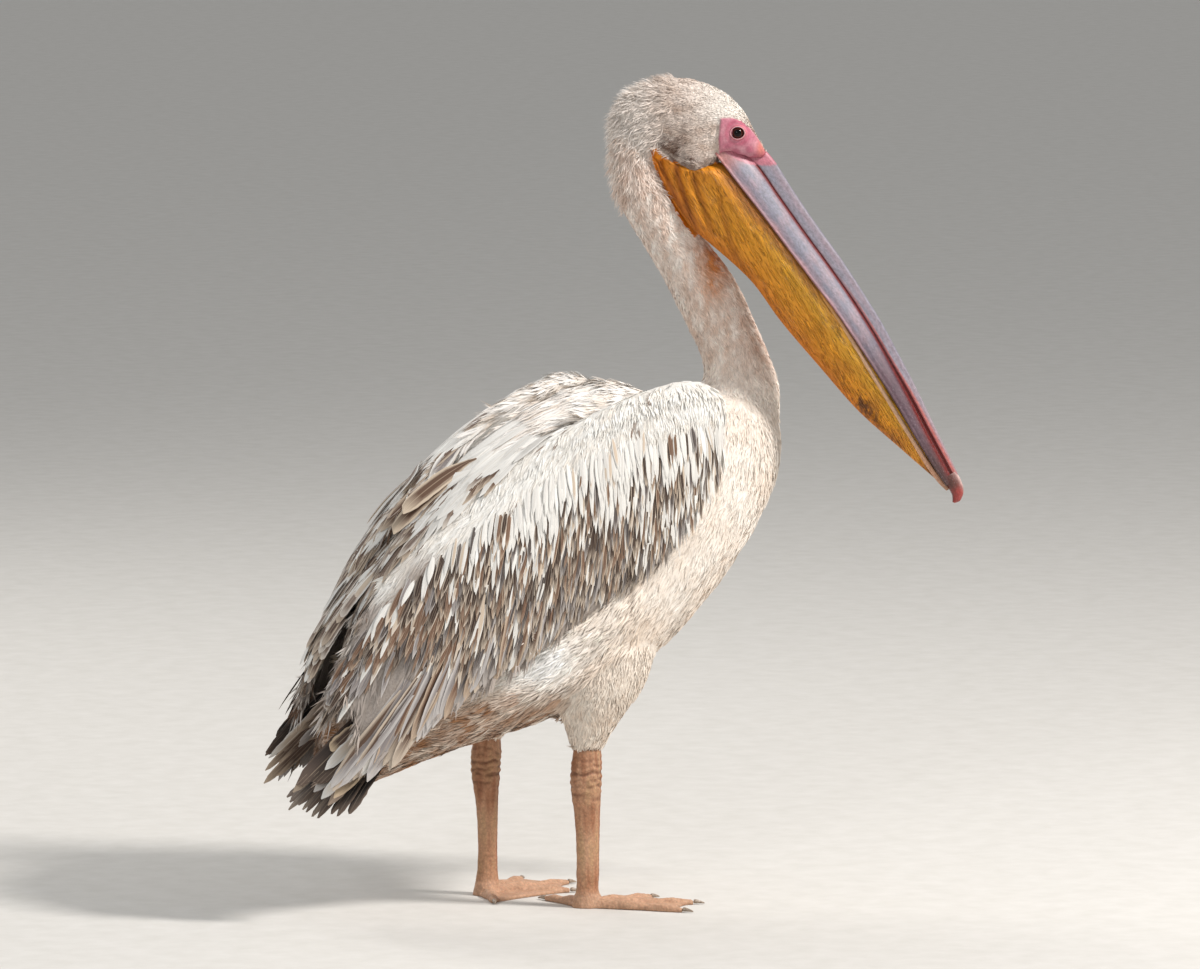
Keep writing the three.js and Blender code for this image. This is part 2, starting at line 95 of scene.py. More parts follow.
def smooth_table(rows):
    """Rows of [position, value, ...] read as one smooth curve of values over position."""
    rows = np.array(rows, float)
    places, values = rows[:, 0], rows[:, 1:]
    slopes = np.gradient(values, places, axis=0)

    def read(place):
        place = np.clip(np.asarray(place, float), places[0], places[-1])
        i = np.clip(np.searchsorted(places, place) - 1, 0, len(places) - 2)
        span = (places[i + 1] - places[i])[..., None]
        t = (place[..., None] - places[i][..., None]) / span
        a, b = values[i], values[i + 1]
        ma, mb = slopes[i] * span, slopes[i + 1] * span
        return (
            (2 * t**3 - 3 * t**2 + 1) * a
            + (t**3 - 2 * t**2 + t) * ma
            + (3 * t**2 - 2 * t**3) * b
            + (t**3 - t**2) * mb
        )

    return read


def ease(low, high, value):
    """0 at low, 1 at high and smooth between. low may be the larger of the two."""
    t = np.clip((np.asarray(value, float) - low) / (high - low), 0, 1)
    return t * t * (3 - 2 * t)


def bell(value, middle, width):
    return np.exp(-(((value - middle) / width) ** 2))


def smudge(x, z, middle, width):
    """1 at one place of a side view, fading away from it."""
    return np.exp(-(((x - middle[0]) / width[0]) ** 2) - (((z - middle[1]) / width[1]) ** 2))


def side_name(side):
    return "right" if side < 0 else "left"


def unit(vectors):
    return vectors / np.maximum(np.linalg.norm(vectors, axis=-1, keepdims=True), 1e-9)


def linear(red, green, blue):
    """A colour given as 0 to 255 on a screen, as the renderer counts it."""
    c = np.array([red, green, blue], float) / 255
    return np.where(c < 0.04045, c / 12.92, ((c + 0.055) / 1.055) ** 2.4)


def blended(base, *layers):
    """Colours laid over each other. Each layer is a colour, or one for each point, and how much of it
    shows at each point."""
    base = linear(*base) if isinstance(base, tuple) else base
    for colour, amount in layers:
        colour = linear(*colour) if isinstance(colour, tuple) else colour
        base = base + (colour - base) * np.clip(amount, 0, 1)[..., None]
    return base


def wavy(points, size, seed):
    """Smooth random values of about -1 to 1 that change over a length of about size."""
    random = np.random.default_rng(seed)
    flat = points.reshape(-1, 3)
    total = np.zeros(len(flat))
    for _ in range(WAVES):
        wave = unit(random.normal(size=3)) * (2 * math.pi / size) * random.uniform(0.6, 1.5)
        total += np.sin(flat @ wave + random.uniform(0, 6.28))
    return (total / 3.2).reshape(points.shape[:-1])


# ------------------------------------------------------------------ making pieces
def only_select(*objects):
    bpy.ops.object.select_all(action="DESELECT")
    for obj in objects:
        obj.select_set(True)
    bpy.context.view_layer.objects.active = objects[0]


def joined(objects):
    """One object made of several."""
    only_select(*objects)
    if len(objects) > 1:
        bpy.ops.object.join()
    return objects[0]


def edit_all(obj, operator, **settings):
    """Runs an edit-mode operator on the whole of one mesh."""
    only_select(obj)
    bpy.ops.object.mode_set(mode="EDIT")
    bpy.ops.mesh.select_all(action="SELECT")
    operator(**settings)
    bpy.ops.object.mode_set(mode="OBJECT")


def unwrap(obj):
    edit_all(obj, bpy.ops.uv.smart_project, angle_limit=1.15, island_margin=0.003)
    obj.data.uv_layers[0].name = "OFBake"


def with_modifier(obj, kind, **settings):
    only_select(obj)
    modifier = obj.modifiers.new(kind.title(), kind)
    for key, value in settings.items():
        setattr(modifier, key, value)
    bpy.ops.object.modifier_apply(modifier=modifier.name)


def merged_copy(name, *nodes):
    """One mesh object made of merged copies of CAD nodes, which stay as they are."""
    copies = [bpy.data.objects.new(name, cad[node].data.copy()) for node in nodes]
    for copy in copies:
        bpy.context.scene.collection.objects.link(copy)
    obj = joined(copies)
    obj.name = obj.data.name = name
    obj.data.materials.clear()
    edit_all(obj, bpy.ops.mesh.remove_doubles, threshold=0.00002)
    return obj


def mesh_piece(name, points, faces, uvs, colours):
    """A new mesh object. points are in the bird's frame, faces are groups of rows of point numbers, and
    uvs and colours hold named places and colours for each point."""
    mesh = bpy.data.meshes.new(name)
    corners = np.concatenate([group.ravel() for group in faces]).astype(np.int32)
    sizes = np.concatenate([np.full(len(group), group.shape[1]) for group in faces])
    starts = np.concatenate([[0], np.cumsum(sizes)[:-1]]).astype(np.int32)
    mesh.vertices.add(len(points))
    mesh.vertices.foreach_set("co", to_row(points).astype(np.float32).ravel())
    mesh.loops.add(len(corners))
    mesh.loops.foreach_set("vertex_index", corners)
    mesh.polygons.add(len(sizes))
    mesh.polygons.foreach_set("loop_start", starts)
    mesh.update(calc_edges=True)
    mesh.polygons.foreach_set("use_smooth", np.ones(len(sizes), bool))
    for key, value in colours.items():
        paint(mesh, key, np.clip(value, 0, 1))
    for key, value in uvs.items():
        layer = mesh.uv_layers.new(name=key)
        layer.data.foreach_set("uv", value.astype(np.float32)[corners].ravel())
    obj = bpy.data.objects.new(name, mesh)
    bpy.context.scene.collection.objects.link(obj)
    return obj


def paint(mesh, name, rgb):
    """Keeps one colour for each point of a mesh."""
    layer = mesh.color_attributes.new(name=name, type="FLOAT_COLOR", domain="POINT")
    rgba = np.ones((len(mesh.vertices), 4), np.float32)
    rgba[:, :3] = rgb
    layer.data.foreach_set("color", rgba.ravel())


def numbers_of(items, field, width=3, kind=np.float32):
    """One field of many mesh items, as a row of numbers for each."""
    values = np.empty(len(items) * width, kind)
    items.foreach_get(field, values)
    return values.reshape(-1, width)


def points_of(mesh):
    return numbers_of(mesh.vertices, "co").astype(float)


def normals_of(mesh):
    return numbers_of(mesh.vertex_normals, "vector").astype(float)


def set_points(obj, points):
    obj.data.vertices.foreach_set("co", np.asarray(points, np.float32).ravel())
    obj.data.update()


def dress(obj, material, slot, *replaced):
    obj.data.materials.clear()
    obj.data.materials.append(material)
    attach(obj, "root")
    if replaced:
        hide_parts(*replaced)
    return obj


# ------------------------------------------------------------------ camera, floor and light
FRAME_WIDTH = 1200  # pixels
FRAME_MIDDLE = (600, 484.5)
FOOT_MARK = (545, 900)  # where the bird's own zero lies in the frame
SCALE = 1.05  # millimetres across one pixel, at the bird
VIEW_TURN = 30.0
VIEW_RISE = 6.0
FAR = 10000.0  # from the camera to the bird, in millimetres
rise = math.radians(VIEW_RISE)
look = turned([0.0, math.cos(rise), -math.sin(rise)], -VIEW_TURN)[0]
right_way = turned([1.0, 0.0, 0.0], -VIEW_TURN)[0]
up_way = np.cross(right_way, look)
aim = (right_way * (FRAME_MIDDLE[0] - FOOT_MARK[0]) + up_way * (FOOT_MARK[1] - FRAME_MIDDLE[1])) * SCALE

camera = bpy.data.objects.new("camera", bpy.data.cameras.new("camera"))
bpy.context.scene.collection.objects.link(camera)
camera.location = to_row(aim - look * FAR)[0]
camera.rotation_euler = Vector(look).to_track_quat("-Z", "Y").to_euler()
camera.data.sensor_width = 36.0
camera.data.lens = camera.data.sensor_width * FAR / (FRAME_WIDTH * SCALE)
camera.data.clip_end = 200
bpy.context.scene.camera = camera

bpy.ops.object.select_all(action="DESELECT")
bpy.ops.mesh.primitive_circle_add(vertices=96, radius=40, fill_type="NGON")
floor = bpy.context.active_object
floor.name = "floor"


def area_light(name, place, size, power, colour):
    bpy.ops.object.light_add(type="AREA", location=place)
    light = bpy.context.active_object
    light.name = name
    light.data.shape = "DISK"
    light.data.size = size
    light.data.energy = power
    light.data.color = colour
    light.rotation_euler = (Vector((0.0, 0.0, 0.45)) - light.location).to_track_quat("-Z", "Y").to_euler()


area_light("key", (2.0, -2.4, 3.4), 0.8, 205, (1.0, 0.965, 0.935))
area_light("fill", (-2.6, -2.4, 1.6), 0.7, 22, (0.92, 0.96, 1.0))
area_light("rim", (-0.6, 3.0, 2.6), 1.6, 42, (1.0, 0.98, 0.95))

bpy.context.scene.view_settings.view_transform = "Standard"
world = bpy.data.worlds.new("studio")
bpy.context.scene.world = world
world.use_nodes = True
world.node_tree.nodes["Background"].inputs["Color"].default_value = (0.86, 0.87, 0.88, 1)
world.node_tree.nodes["Background"].inputs["Strength"].default_value = 0.52


# ------------------------------------------------------------------ materials
class Finish:
    """A material built from a few nodes round one Principled shader."""

    def __init__(self, name, roughness, **sockets):
        self.material = bpy.data.materials.new(name)
        self.material.use_nodes = True
        self.tree = self.material.node_tree
        self.shader = self.tree.nodes["Principled BSDF"]
        self.shader.inputs["Roughness"].default_value = roughness
        self.fill(self.shader, sockets)

    def put(self, value, socket):
        """Links an output to a socket, or sets the socket to a number or to a 0 to 255 colour."""
        if hasattr(value, "is_output"):
            self.tree.links.new(value, socket)
        else:
            socket.default_value = (*linear(*value), 1) if socket.type == "RGBA" else value

    def fill(self, node, sockets):
        for key, value in sockets.items():
            self.put(value, node.inputs[key.replace("_", " ")])
        return node

    def node(self, kind, **sockets):
        return self.fill(self.tree.nodes.new(kind), sockets)

    def place(self, uv_name=None, scale=(1, 1, 1), turn=(0, 0, 0)):
        """Places in the piece's own space, or on an unwrap."""
        source = self.tree.nodes.new("ShaderNodeUVMap" if uv_name else "ShaderNodeTexCoord")
        if uv_name:
            source.uv_map = uv_name
        output = source.outputs["UV" if uv_name else "Object"]
        return self.node("ShaderNodeMapping", Vector=output, Scale=scale, Rotation=turn).outputs[0]

    def painted(self, name="plume"):
        source = self.tree.nodes.new("ShaderNodeAttribute")
        source.attribute_name = name
        return source.outputs["Color"]

    def noise(self, place, detail=4.0, roughness=0.6, distortion=0.0):
        """Noise over a place. A number stands for its scale in the piece's own space."""
        place, scale = (self.place(), place) if isinstance(place, float) else (place, 1.0)
        made = self.node("ShaderNodeTexNoise", Vector=place, Scale=scale, Detail=detail, Roughness=roughness,
                         Distortion=distortion)
        return made.outputs["Fac"]

    def ramp(self, value, *stops):
        """Colour stops of (place, (red, green, blue)) with 0 to 255 colours, or (place, number)."""
        made = self.tree.nodes.new("ShaderNodeValToRGB")
        self.put(value, made.inputs[0])
        band = made.color_ramp
        while len(band.elements) < len(stops):
            band.elements.new(0.5)
        for element, (place, colour) in zip(band.elements, stops):
            element.position = place
            rgb = linear(*colour) if isinstance(colour, tuple) else [colour] * 3
            element.color = (*rgb, 1)
        return made.outputs["Color"]

    def mix(self, factor, first, second, blend="MIX"):
        made = self.tree.nodes.new("ShaderNodeMix")
        made.data_type = "RGBA"
        made.blend_type = blend
        for number, value in ((0, factor), (6, first), (7, second)):
            self.put(value, made.inputs[number])
        return made.outputs[2]

    def shaded(self, base, value, *stops):
        """A colour times stops of light and dark over a value."""
        return self.mix(1.0, base, self.ramp(value, *stops), "MULTIPLY")

    def maths(self, operation, first, second=0.0):
        made = self.tree.nodes.new("ShaderNodeMath")
        made.operation = operation
        self.put(first, made.inputs[0])
        self.put(second, made.inputs[1])
        return made.outputs[0]

    def colour(self, source):
        self.put(source, self.shader.inputs["Base Color"])

    def bump(self, height, strength, distance):
        made = self.node("ShaderNodeBump", Height=height, Strength=strength, Distance=distance)
        previous = self.shader.inputs["Normal"].links
        if previous:
            self.put(previous[0].from_socket, made.inputs["Normal"])
        self.put(made.outputs[0], self.shader.inputs["Normal"])


def grained(name, roughness, scale, *stops, bump=None, **sockets):
    """A material of painted colours with a fine grain."""
    finish = Finish(name, roughness, **sockets)
    grain = finish.noise(scale, 3.0)
    finish.colour(finish.shaded(finish.painted(), grain, *stops))
    if bump:
        finish.bump(grain, *bump)
    return finish.material


def floor_finish():
    finish = Finish("pale_floor", 0.9)
    finish.colour(finish.ramp(finish.noise(30.0), (0.3, (206, 203, 197)), (0.7, (214, 211, 206))))
    return finish.material


floor.data.materials.append(floor_finish())


# ------------------------------------------------------------------ markings shared by skin and coat
FLESH = [
    "trunk", "neck_lower", "neck_upper", "head", "thigh_right", "thigh_left",
    "wing_right", "wing_left", "scapulars_right", "scapulars_left",
]
TRUNK, NECK_LOW, NECK_HIGH, HEAD, THIGH_R, THIGH_L, WING_R, WING_L, BACK_R, BACK_L = range(len(FLESH))
NECK, THIGHS, WINGS, BACK = (NECK_LOW, NECK_HIGH), (THIGH_R, THIGH_L), (WING_R, WING_L), (BACK_R, BACK_L)
FACE_PARTS = (HEAD, NECK_HIGH)

# The bare pink patch round each eye, in the head's side view.
PATCH = np.array([
    (84, 34), (96, 34.5), (106, 31), (117, 21), (126, 8), (134, -7), (138, -17),
    (118, -21), (102, -14), (90, -9), (83, -8), (82, 12),
], float)
# The bare orange skin round the root of the pouch.
GULAR = np.array([
    (13, 4), (19, 3), (26, -4), (39, -10.6), (52, -19.5), (62, -23), (73, -18), (79, -10.6), (96, -24),
    (75, -80), (57, -95), (47, -84), (33, -60), (23, -41), (14, -18), (11, -8),
], float)


def outline_distance(places, outline):
    """How far points in a plane lie from a closed outline, below zero inside it."""
    nearest = np.full(len(places), 1e9)
    inside = np.zeros(len(places), bool)
    for a, b in zip(outline, np.roll(outline, -1, axis=0)):
        along = b - a
        t = np.clip(((places - a) @ along) / (along @ along), 0, 1)
        nearest = np.minimum(nearest, np.linalg.norm(places - a - t[:, None] * along, axis=1))
        crosses = (a[1] > places[:, 1]) != (b[1] > places[:, 1])
        slope = along[0] / (along[1] if along[1] else 1e-9)
        inside ^= crosses & (places[:, 0] < a[0] + slope * (places[:, 1] - a[1]))
    return np.where(inside, -nearest, nearest)


def edge_gaps(points):
    """How far places lie from the edges of the pink patch and of the orange throat."""
    side_view = bird_to_head(points)[:, [0, 2]]
    return outline_distance(side_view, PATCH), outline_distance(side_view, GULAR)


def bareness(points):
    """1 on the bare skin of the face and on that of the throat, 0 under feathers."""
    face, throat = edge_gaps(points)
    return ease(1.2, -1.2, face), ease(1.0, -2.0, throat)


wing_edges = smooth_table([
    # forward, upper edge height, lower edge height
    [-275, 270, 150], [-240, 338, 168], [-192, 396, 215], [-136, 445, 246], [-82, 480, 272],
    [-16, 518, 322], [48, 545, 352], [110, 557, 412], [140, 542, 452],
])


FAR_WING_BACK = 10.0  # how far the left wing lies behind the right one
FAR_WING_LOW = 0.7  # how much lower it lies, for each millimetre of that


def wing_share(points, part):
    """How far down the folded wing a point lies, from 0 at its upper edge to 1 at its lower one."""
    late = np.where(part == WING_L, FAR_WING_BACK, 0.0)
    upper, lower = wing_edges(points[:, 0] + late).T
    return (upper - points[:, 2] - late * FAR_WING_LOW) / (upper - lower)


def markings(points, part):
    """The plumage colour at points of the body, by place and by the part that carries it."""
    x, _, z = bird_to_head(points).T
    ahead, height = points[:, 0], points[:, 2]
    fine, broad = wavy(points, 9, 3), wavy(points, 60, 4)
    # breast and belly: cream with warm streaks, browner towards the rear
    low = ease(420, 230, height)
    flank = smudge(ahead, height, (-52, 270), (40, 24))
    under = ease(262, 205, height) * ease(40, -40, ahead) * (part == TRUNK)
    tufty = 0.55 + 0.5 * wavy(points, 22, 8) + 0.25 * wavy(points, 9, 10)
    colour = blended(
        (242, 234, 224),
        ((228, 206, 184), 0.16 + 0.28 * low + 0.16 * broad + 0.12 * fine),
        ((168, 122, 86), under * tufty * (1 - flank)),
        ((252, 250, 246), flank * 1.3 * (part == TRUNK)),
    )
    legging = blended(
        (240, 229, 215),
        ((206, 182, 160), 0.25 + 0.3 * fine),
        ((238, 226, 212), ease(215, 275, height)),
    )
    # neck: pinkish with whitish tips, browner low on its front
    rusty = bell(x, 74, 16) * bell(z, -118, 34) * ease(-90, -104, z)
    throat = blended(
        (226, 203, 187),
        ((250, 240, 231), 0.5 + 0.5 * wavy(points, 12, 5)),
        ((196, 158, 134), 0.45 * smudge(height, ahead, (566, 236), (40, 26)) * (1 + fine)),
        ((250, 240, 229), ease(590, 510, height) * 0.95),
        ((214, 142, 84), 0.85 * rusty * (1 + 0.5 * fine)),
    )
    # head: white crown, darker brown smudges behind the eye and along the throat
    brown_smudges = 1.1 * smudge(x, z, (36, 4), (15, 13)) + 0.9 * smudge(x, z, (56, -12), (18, 9))
    brown_smudges += 0.38 * smudge(x, z, (50, 30), (30, 22))
    crown = blended(
        (232, 218, 207),
        ((190, 168, 152), 0.32 + 0.4 * wavy(points, 16, 6)),
        # paler towards the nape: partly the crown's own white, partly painted rim light
        ((246, 238, 230), 0.75 * ease(34, 4, x)),
        ((250, 244, 236), 0.8 * ease(40, 90, x) * ease(20, 40, z)),
        ((98, 68, 52), 0.9 * brown_smudges * (0.7 + 0.45 * wavy(points, 10, 9))),
    )
    # wings: white above with a few brown spots, grey-brown below
    turn = np.interp(ahead, [-240, -170, -60, 0, 90], [0.08, 0.23, 0.41, 0.44, 0.47])
    dark = ease(-0.14, 0.14, wing_share(points, part) - turn + 0.08 * broad)
    spots = ease(1.05, 1.45, wavy(points * [1, 1, 0.5], 8, 17) + 0.3 * broad) * (ahead < 90)
    vane = blended(
        (242, 240, 235),
        ((224, 210, 192), 0.12 + 0.25 * fine),
        ((112, 84, 62), 0.85 * spots),
        ((136, 118, 106), dark * ease(118, 70, ahead) * 0.75),
    )
    rear = ease(-60, -150, ahead + 30 * broad)
    blade = blended(
        (242, 239, 235),
        ((226, 206, 184), 0.2 + 0.3 * fine),
        ((112, 88, 72), rear * (0.6 + 0.6 * wavy(points * [1, 1, 0.6], 15, 20))),
    )
    for parts, own in ((THIGHS, legging), (NECK, throat), (HEAD, crown), (WINGS, vane), (BACK, blade)):
        colour = np.where(np.isin(part, parts)[:, None], own, colour)
    return colour


# ------------------------------------------------------------------ skin
COAT_DEPTH = np.array([3.5, 1.6, 1.4, 3.2, 1.8, 1.8, 3.6, 3.6, 3.6, 3.6])  # for each part of FLESH
SKIN_VOXEL, LEG_VOXEL = 0.0042, 0.0013  # metres


def build_skin():
    """One skin over trunk, neck, head, thighs and wings, inside them by the depth of the coat."""
    copies = []
    for number, node in enumerate(FLESH):
        copy = merged_copy("skin", node)
        tag = copy.data.attributes.new("part", "INT", "FACE")
        tag.data.foreach_set("value", np.full(len(copy.data.polygons), number, np.int32))
        copies.append(copy)
    skin = joined(copies)
    skin.name = "skin"
    faces = [tuple(face.vertices) for face in skin.data.polygons]
    labels = numbers_of(skin.data.attributes["part"].data, "value", 1, np.int32)[:, 0]
    solid = BVHTree.FromPolygons([Vector(p) for p in points_of(skin.data)], faces)

    with_modifier(skin, "REMESH", mode="VOXEL", voxel_size=SKIN_VOXEL, use_smooth_shade=True)
    with_modifier(skin, "SMOOTH", factor=0.5, iterations=10)
    for reach in (8, 3):  # finer meshes towards the edges of the bare skin
        only_select(skin)
        bird = to_bird(points_of(skin.data))
        chosen = (np.minimum(*edge_gaps(bird)) < reach) & (np.abs(bird_to_head(bird)[:, 1]) < 60)
        bpy.ops.object.mode_set(mode="EDIT")
        bpy.ops.mesh.select_mode(type="VERT")
        bpy.ops.mesh.select_all(action="DESELECT")
        bpy.ops.object.mode_set(mode="OBJECT")
        skin.data.vertices.foreach_set("select", chosen)
        bpy.ops.object.mode_set(mode="EDIT")
        bpy.ops.mesh.select_mode(type="FACE")
        bpy.ops.mesh.subdivide(number_cuts=1)
        bpy.ops.mesh.select_all(action="SELECT")
        bpy.ops.mesh.quads_convert_to_tris()
        bpy.ops.object.mode_set(mode="OBJECT")

    points = points_of(skin.data)
    part = np.array([labels[solid.find_nearest(Vector(p))[2]] for p in points])
    normals = normals_of(skin.data)
    own = BVHTree.FromObject(skin, bpy.context.evaluated_depsgraph_get())
    thickness = np.empty(len(points))
    for i, (point, normal) in enumerate(zip(points, normals)):
        hit = own.ray_cast(Vector(point - normal * 0.0004), Vector(-normal), 0.06)
        thickness[i] = hit[3] * 1000 if hit[0] is not None else 60
    patch, gular = bareness(to_bird(points))
    on_head = part == HEAD
    depth = COAT_DEPTH[part]
    bare = depth * (1 - 0.9 * np.maximum(patch * on_head, gular))
    depth = np.minimum(np.where(np.isin(part, FACE_PARTS), bare, depth), 0.28 * thickness)
    set_points(skin, points - normals * depth[:, None] / 1000)
    with_modifier(skin, "SMOOTH", factor=0.5, iterations=2)
    # a fuller cheek and lobe beside the root of the bill
    points = points_of(skin.data)
    local = bird_to_head(to_bird(points))
    cheek = 10.0 * bell(local[:, 0], 57, 18) * bell(local[:, 2], -11, 12) * on_head
    lobe = 9.0 * bell(local[:, 0], 58, 15) * ease(6, -8, local[:, 2]) * on_head
    local[:, 1] += np.sign(local[:, 1]) * cheek * ease(3, 11, np.abs(local[:, 1]))
    local[:, 2] -= lobe
    set_points(skin, np.where((cheek + lobe > 0.01)[:, None], to_row(head_to_bird(local)), points))
    # a smooth way from the neck into the breast
    bird = to_bird(points_of(skin.data))
    bird[:, 0] += 5.0 * bell(bird[:, 2], 525, 34) * ease(222, 244, bird[:, 0])
    set_points(skin, to_row(bird))
    weights = bell(bird[:, 2] - 0.5 * (240 - bird[:, 0]), 492, 34) * ease(180, 205, bird[:, 0])
    group = skin.vertex_groups.new(name="neck_base")
    for number in np.flatnonzero(weights > 0.02):
        group.add([int(number)], float(weights[number]), "REPLACE")
    with_modifier(skin, "SMOOTH", factor=0.8, iterations=40, vertex_group="neck_base")
    return skin, part


skin, skin_part = build_skin()


# ------------------------------------------------------------------ the lie of the coat
NECK_LINE = np.array([
    (184, 0, 430), (222, 0, 482), (236, 0, 535), (229, 0, 568), (215, 0, 597), (197, 0, 629), (178, 0, 657),
    (160, 0, 681), (140, 0, 707), (121, 0, 733), (108, 0, 762), (104, 0, 790), (112, -4, 815),
], float)


def neck_way(points):
    """The direction down the neck beside each point."""
    middles = (NECK_LINE[1:] + NECK_LINE[:-1]) / 2
    ways = unit(NECK_LINE[:-1] - NECK_LINE[1:])
    gaps = np.linalg.norm(points[:, None] - middles[None], axis=2)
    weight = np.exp(-((gaps - gaps.min(1, keepdims=True)) / 16))
    return unit(weight @ ways)


def lie(points, part):
    """The way that feathers point at places on the bird, before they are laid on its surface."""
    x, z = points[:, 0], points[:, 2]
    level = 0 * x
    ways = np.stack([-0.55 - 0.4 * ease(150, -150, x), level, -0.85 + 0.5 * ease(120, -180, x)], 1)
    front = ease(190, 250, x) * ease(380, 450, z)
    ways = ways + (np.array([0.05, 0, -1.0]) - ways) * front[:, None]
    down = ease(24, -22, bird_to_head(points)[:, 0])
    crown = np.stack([-0.95 + 0.6 * down, level, -0.22 - 0.8 * down], 1)
    slant = np.radians(3 + 24 * ease(120, -260, x)
                       + 26 * ease(0.5, 0.0, wing_share(points, part)) * ease(40, -200, x))
    steep = ease(60, -240, x)
    for parts, own in (
        (NECK, neck_way(points)),
        (HEAD, turned(crown, HEAD_TURN)),
        (THIGHS, np.array([-0.22, 0, -1.0])),
        (WINGS, np.stack([-np.sin(slant), level, -np.cos(slant)], 1)),
        (BACK, np.stack([-1 + 0.45 * steep, level, -0.25 - 0.75 * steep], 1)),
    ):
        ways = np.where(np.isin(part, parts)[:, None], own, ways)
    return unit(ways)


def laid(ways, normals):
    """Ways turned so that they run along a surface."""
    return unit(ways - normals * (ways * normals).sum(1, keepdims=True))


def spun(ways, normals, angles):
    """Ways turned about the surface normal, by angles in radians."""
    return ways * np.cos(angles)[:, None] + np.cross(normals, ways) * np.sin(angles)[:, None]


class SkinMap:
    """The skin's triangles, from which feather roots are drawn."""

    def __init__(self, obj, part):
        unwrap(obj)
        mesh = obj.data
        mesh.calc_loop_triangles()
        self.corners = numbers_of(mesh.loop_triangles, "vertices", kind=np.int32)
        self.points = to_bird(points_of(mesh))
        self.normals = normals_of(mesh)
        loops = numbers_of(mesh.loop_triangles, "loops", kind=np.int32)
        self.uv = numbers_of(mesh.uv_layers[0].data, "uv", 2)[loops]
        shape = self.points[self.corners]
        self.area = np.linalg.norm(np.cross(shape[:, 1] - shape[:, 0], shape[:, 2] - shape[:, 0]), axis=1) / 2
        self.middle = shape.mean(1)
        self.triangle_part = part[self.corners[:, 0]]
        self.tree = BVHTree.FromPolygons([Vector(p) for p in self.points], [tuple(c) for c in self.corners])

    def roots(self, density, seed):
        """Random places on the skin. density is how many roots a square millimetre of each triangle has."""
        random = np.random.default_rng(seed)
        share = self.area * density
        count = int(share.sum())
        chosen = random.choice(len(share), count, p=share / share.sum())
        a, b = random.random((2, count))
        flip = a + b > 1
        a, b = np.where(flip, 1 - a, a), np.where(flip, 1 - b, b)
        weights = np.stack([1 - a - b, a, b], 1)[..., None]
        corners = self.corners[chosen]
        return {
            "point": (self.points[corners] * weights).sum(1),
            "normal": unit((self.normals[corners] * weights).sum(1)),
            "uv": (self.uv[chosen] * weights).sum(1),
            "part": self.triangle_part[chosen],
            "random": random,
        }

    def onto(self, points):
        """The nearest places on the skin, their normals and their places on its unwrap."""
        hits = [self.tree.find_nearest(Vector(point)) for point in points]
        spots, normals = (np.array([hit[k] for hit in hits], float) for k in (0, 1))
        return spots, normals, np.array([self.uv[hit[2]].mean(0) for hit in hits], float)


PATCH_SIZE = 0.003  # how much of the unwrap one feather takes
ROOT_DEPTH = 0.4  # how deep a tuft is rooted
VANE_STEP = 3.0  # room for each feather's own places, one long, on the vane unwrap


def tufts(name, roots, length, width, strands=2, stations=3, lift=0.25, droop=0.6, spread=0.3,
          contrast=0.06, turn=0.0, slot="plumage"):
    """A coat piece of small tufts, each of a few tapered blades that share a root."""
    random, place, normal = roots["random"], roots["point"], roots["normal"]
    count = len(place)
    base = laid(lie(place, roots["part"]), normal)
    swirl = 0.22 * wavy(place, 34, 21) + 0.10 * random.normal(size=count)
    base = spun(base, normal, swirl + turn)
    colour = markings(place, roots["part"])
    colour = colour * (1 + contrast * random.normal(size=(count, 1)))
    t = np.linspace(0, 1, stations)
    wide = np.interp(t, [0, 0.35, 0.75, 1], [0.7, 1.0, 0.7, 0.0])[:-1]
    points, faces, uvs, colours = [], [[], []], [], []
    per = 2 * (stations - 1) + 1
    for strand in range(strands):
        long = length * random.uniform(0.75, 1.2, count)
        thin = width * random.uniform(0.8, 1.25, count)
        way = spun(base, normal, spread * random.normal(size=count))
        side = np.cross(normal, way)
        roll = (0.15 + spread) * random.normal(size=count)[:, None]
        side = side * np.cos(roll) + normal * np.sin(roll)
        rise = (lift * random.uniform(0.6, 1.4, count) * long)[:, None, None]
        aside = side * (random.uniform(-0.8, 0.8, count) * width)[:, None]
        start = place - normal * ROOT_DEPTH + aside
        line = (start[:, None] + way[:, None] * (long[:, None] * t)[..., None]
                + normal[:, None] * rise * (t - droop * t**2)[None, :, None])
        half = side[:, None] * (thin[:, None] * wide / 2)[..., None]
        body = np.stack([line[:, :-1] - half, line[:, :-1] + half], 2).reshape(count, -1, 3)
        points.append(np.concatenate([body, line[:, -1:]], 1).reshape(-1, 3))
        first = (strand * count + np.arange(count)) * per
        for k in range(stations - 2):
            faces[0].append(first[:, None] + np.array([2 * k, 2 * k + 1, 2 * k + 3, 2 * k + 2]))
        faces[1].append(first[:, None] + np.array([per - 3, per - 2, per - 1]))
        shift = np.stack([np.tile([-0.5, 0.5], stations - 1), np.repeat(t[:-1] - 0.5, 2)], 1)
        shift = np.concatenate([shift, [[0, 0.5]]]) * PATCH_SIZE
        uvs.append((roots["uv"][:, None] + shift).reshape(-1, 2))
        # painted shade and light: each strand darker at its root and a little lighter at its tip
        shade = np.append(np.repeat(0.93 + 0.1 * t[:-1], 2), 1.03)
        colours.append((colour[:, None] * shade[None, :, None]).reshape(-1, 3))
    piece = mesh_piece(f"coat_{name}", np.concatenate(points), [np.concatenate(g) for g in faces],
                       {"OFBake": np.concatenate(uvs)}, {"plume": np.concatenate(colours)})
    return dress(piece, DOWN, slot)


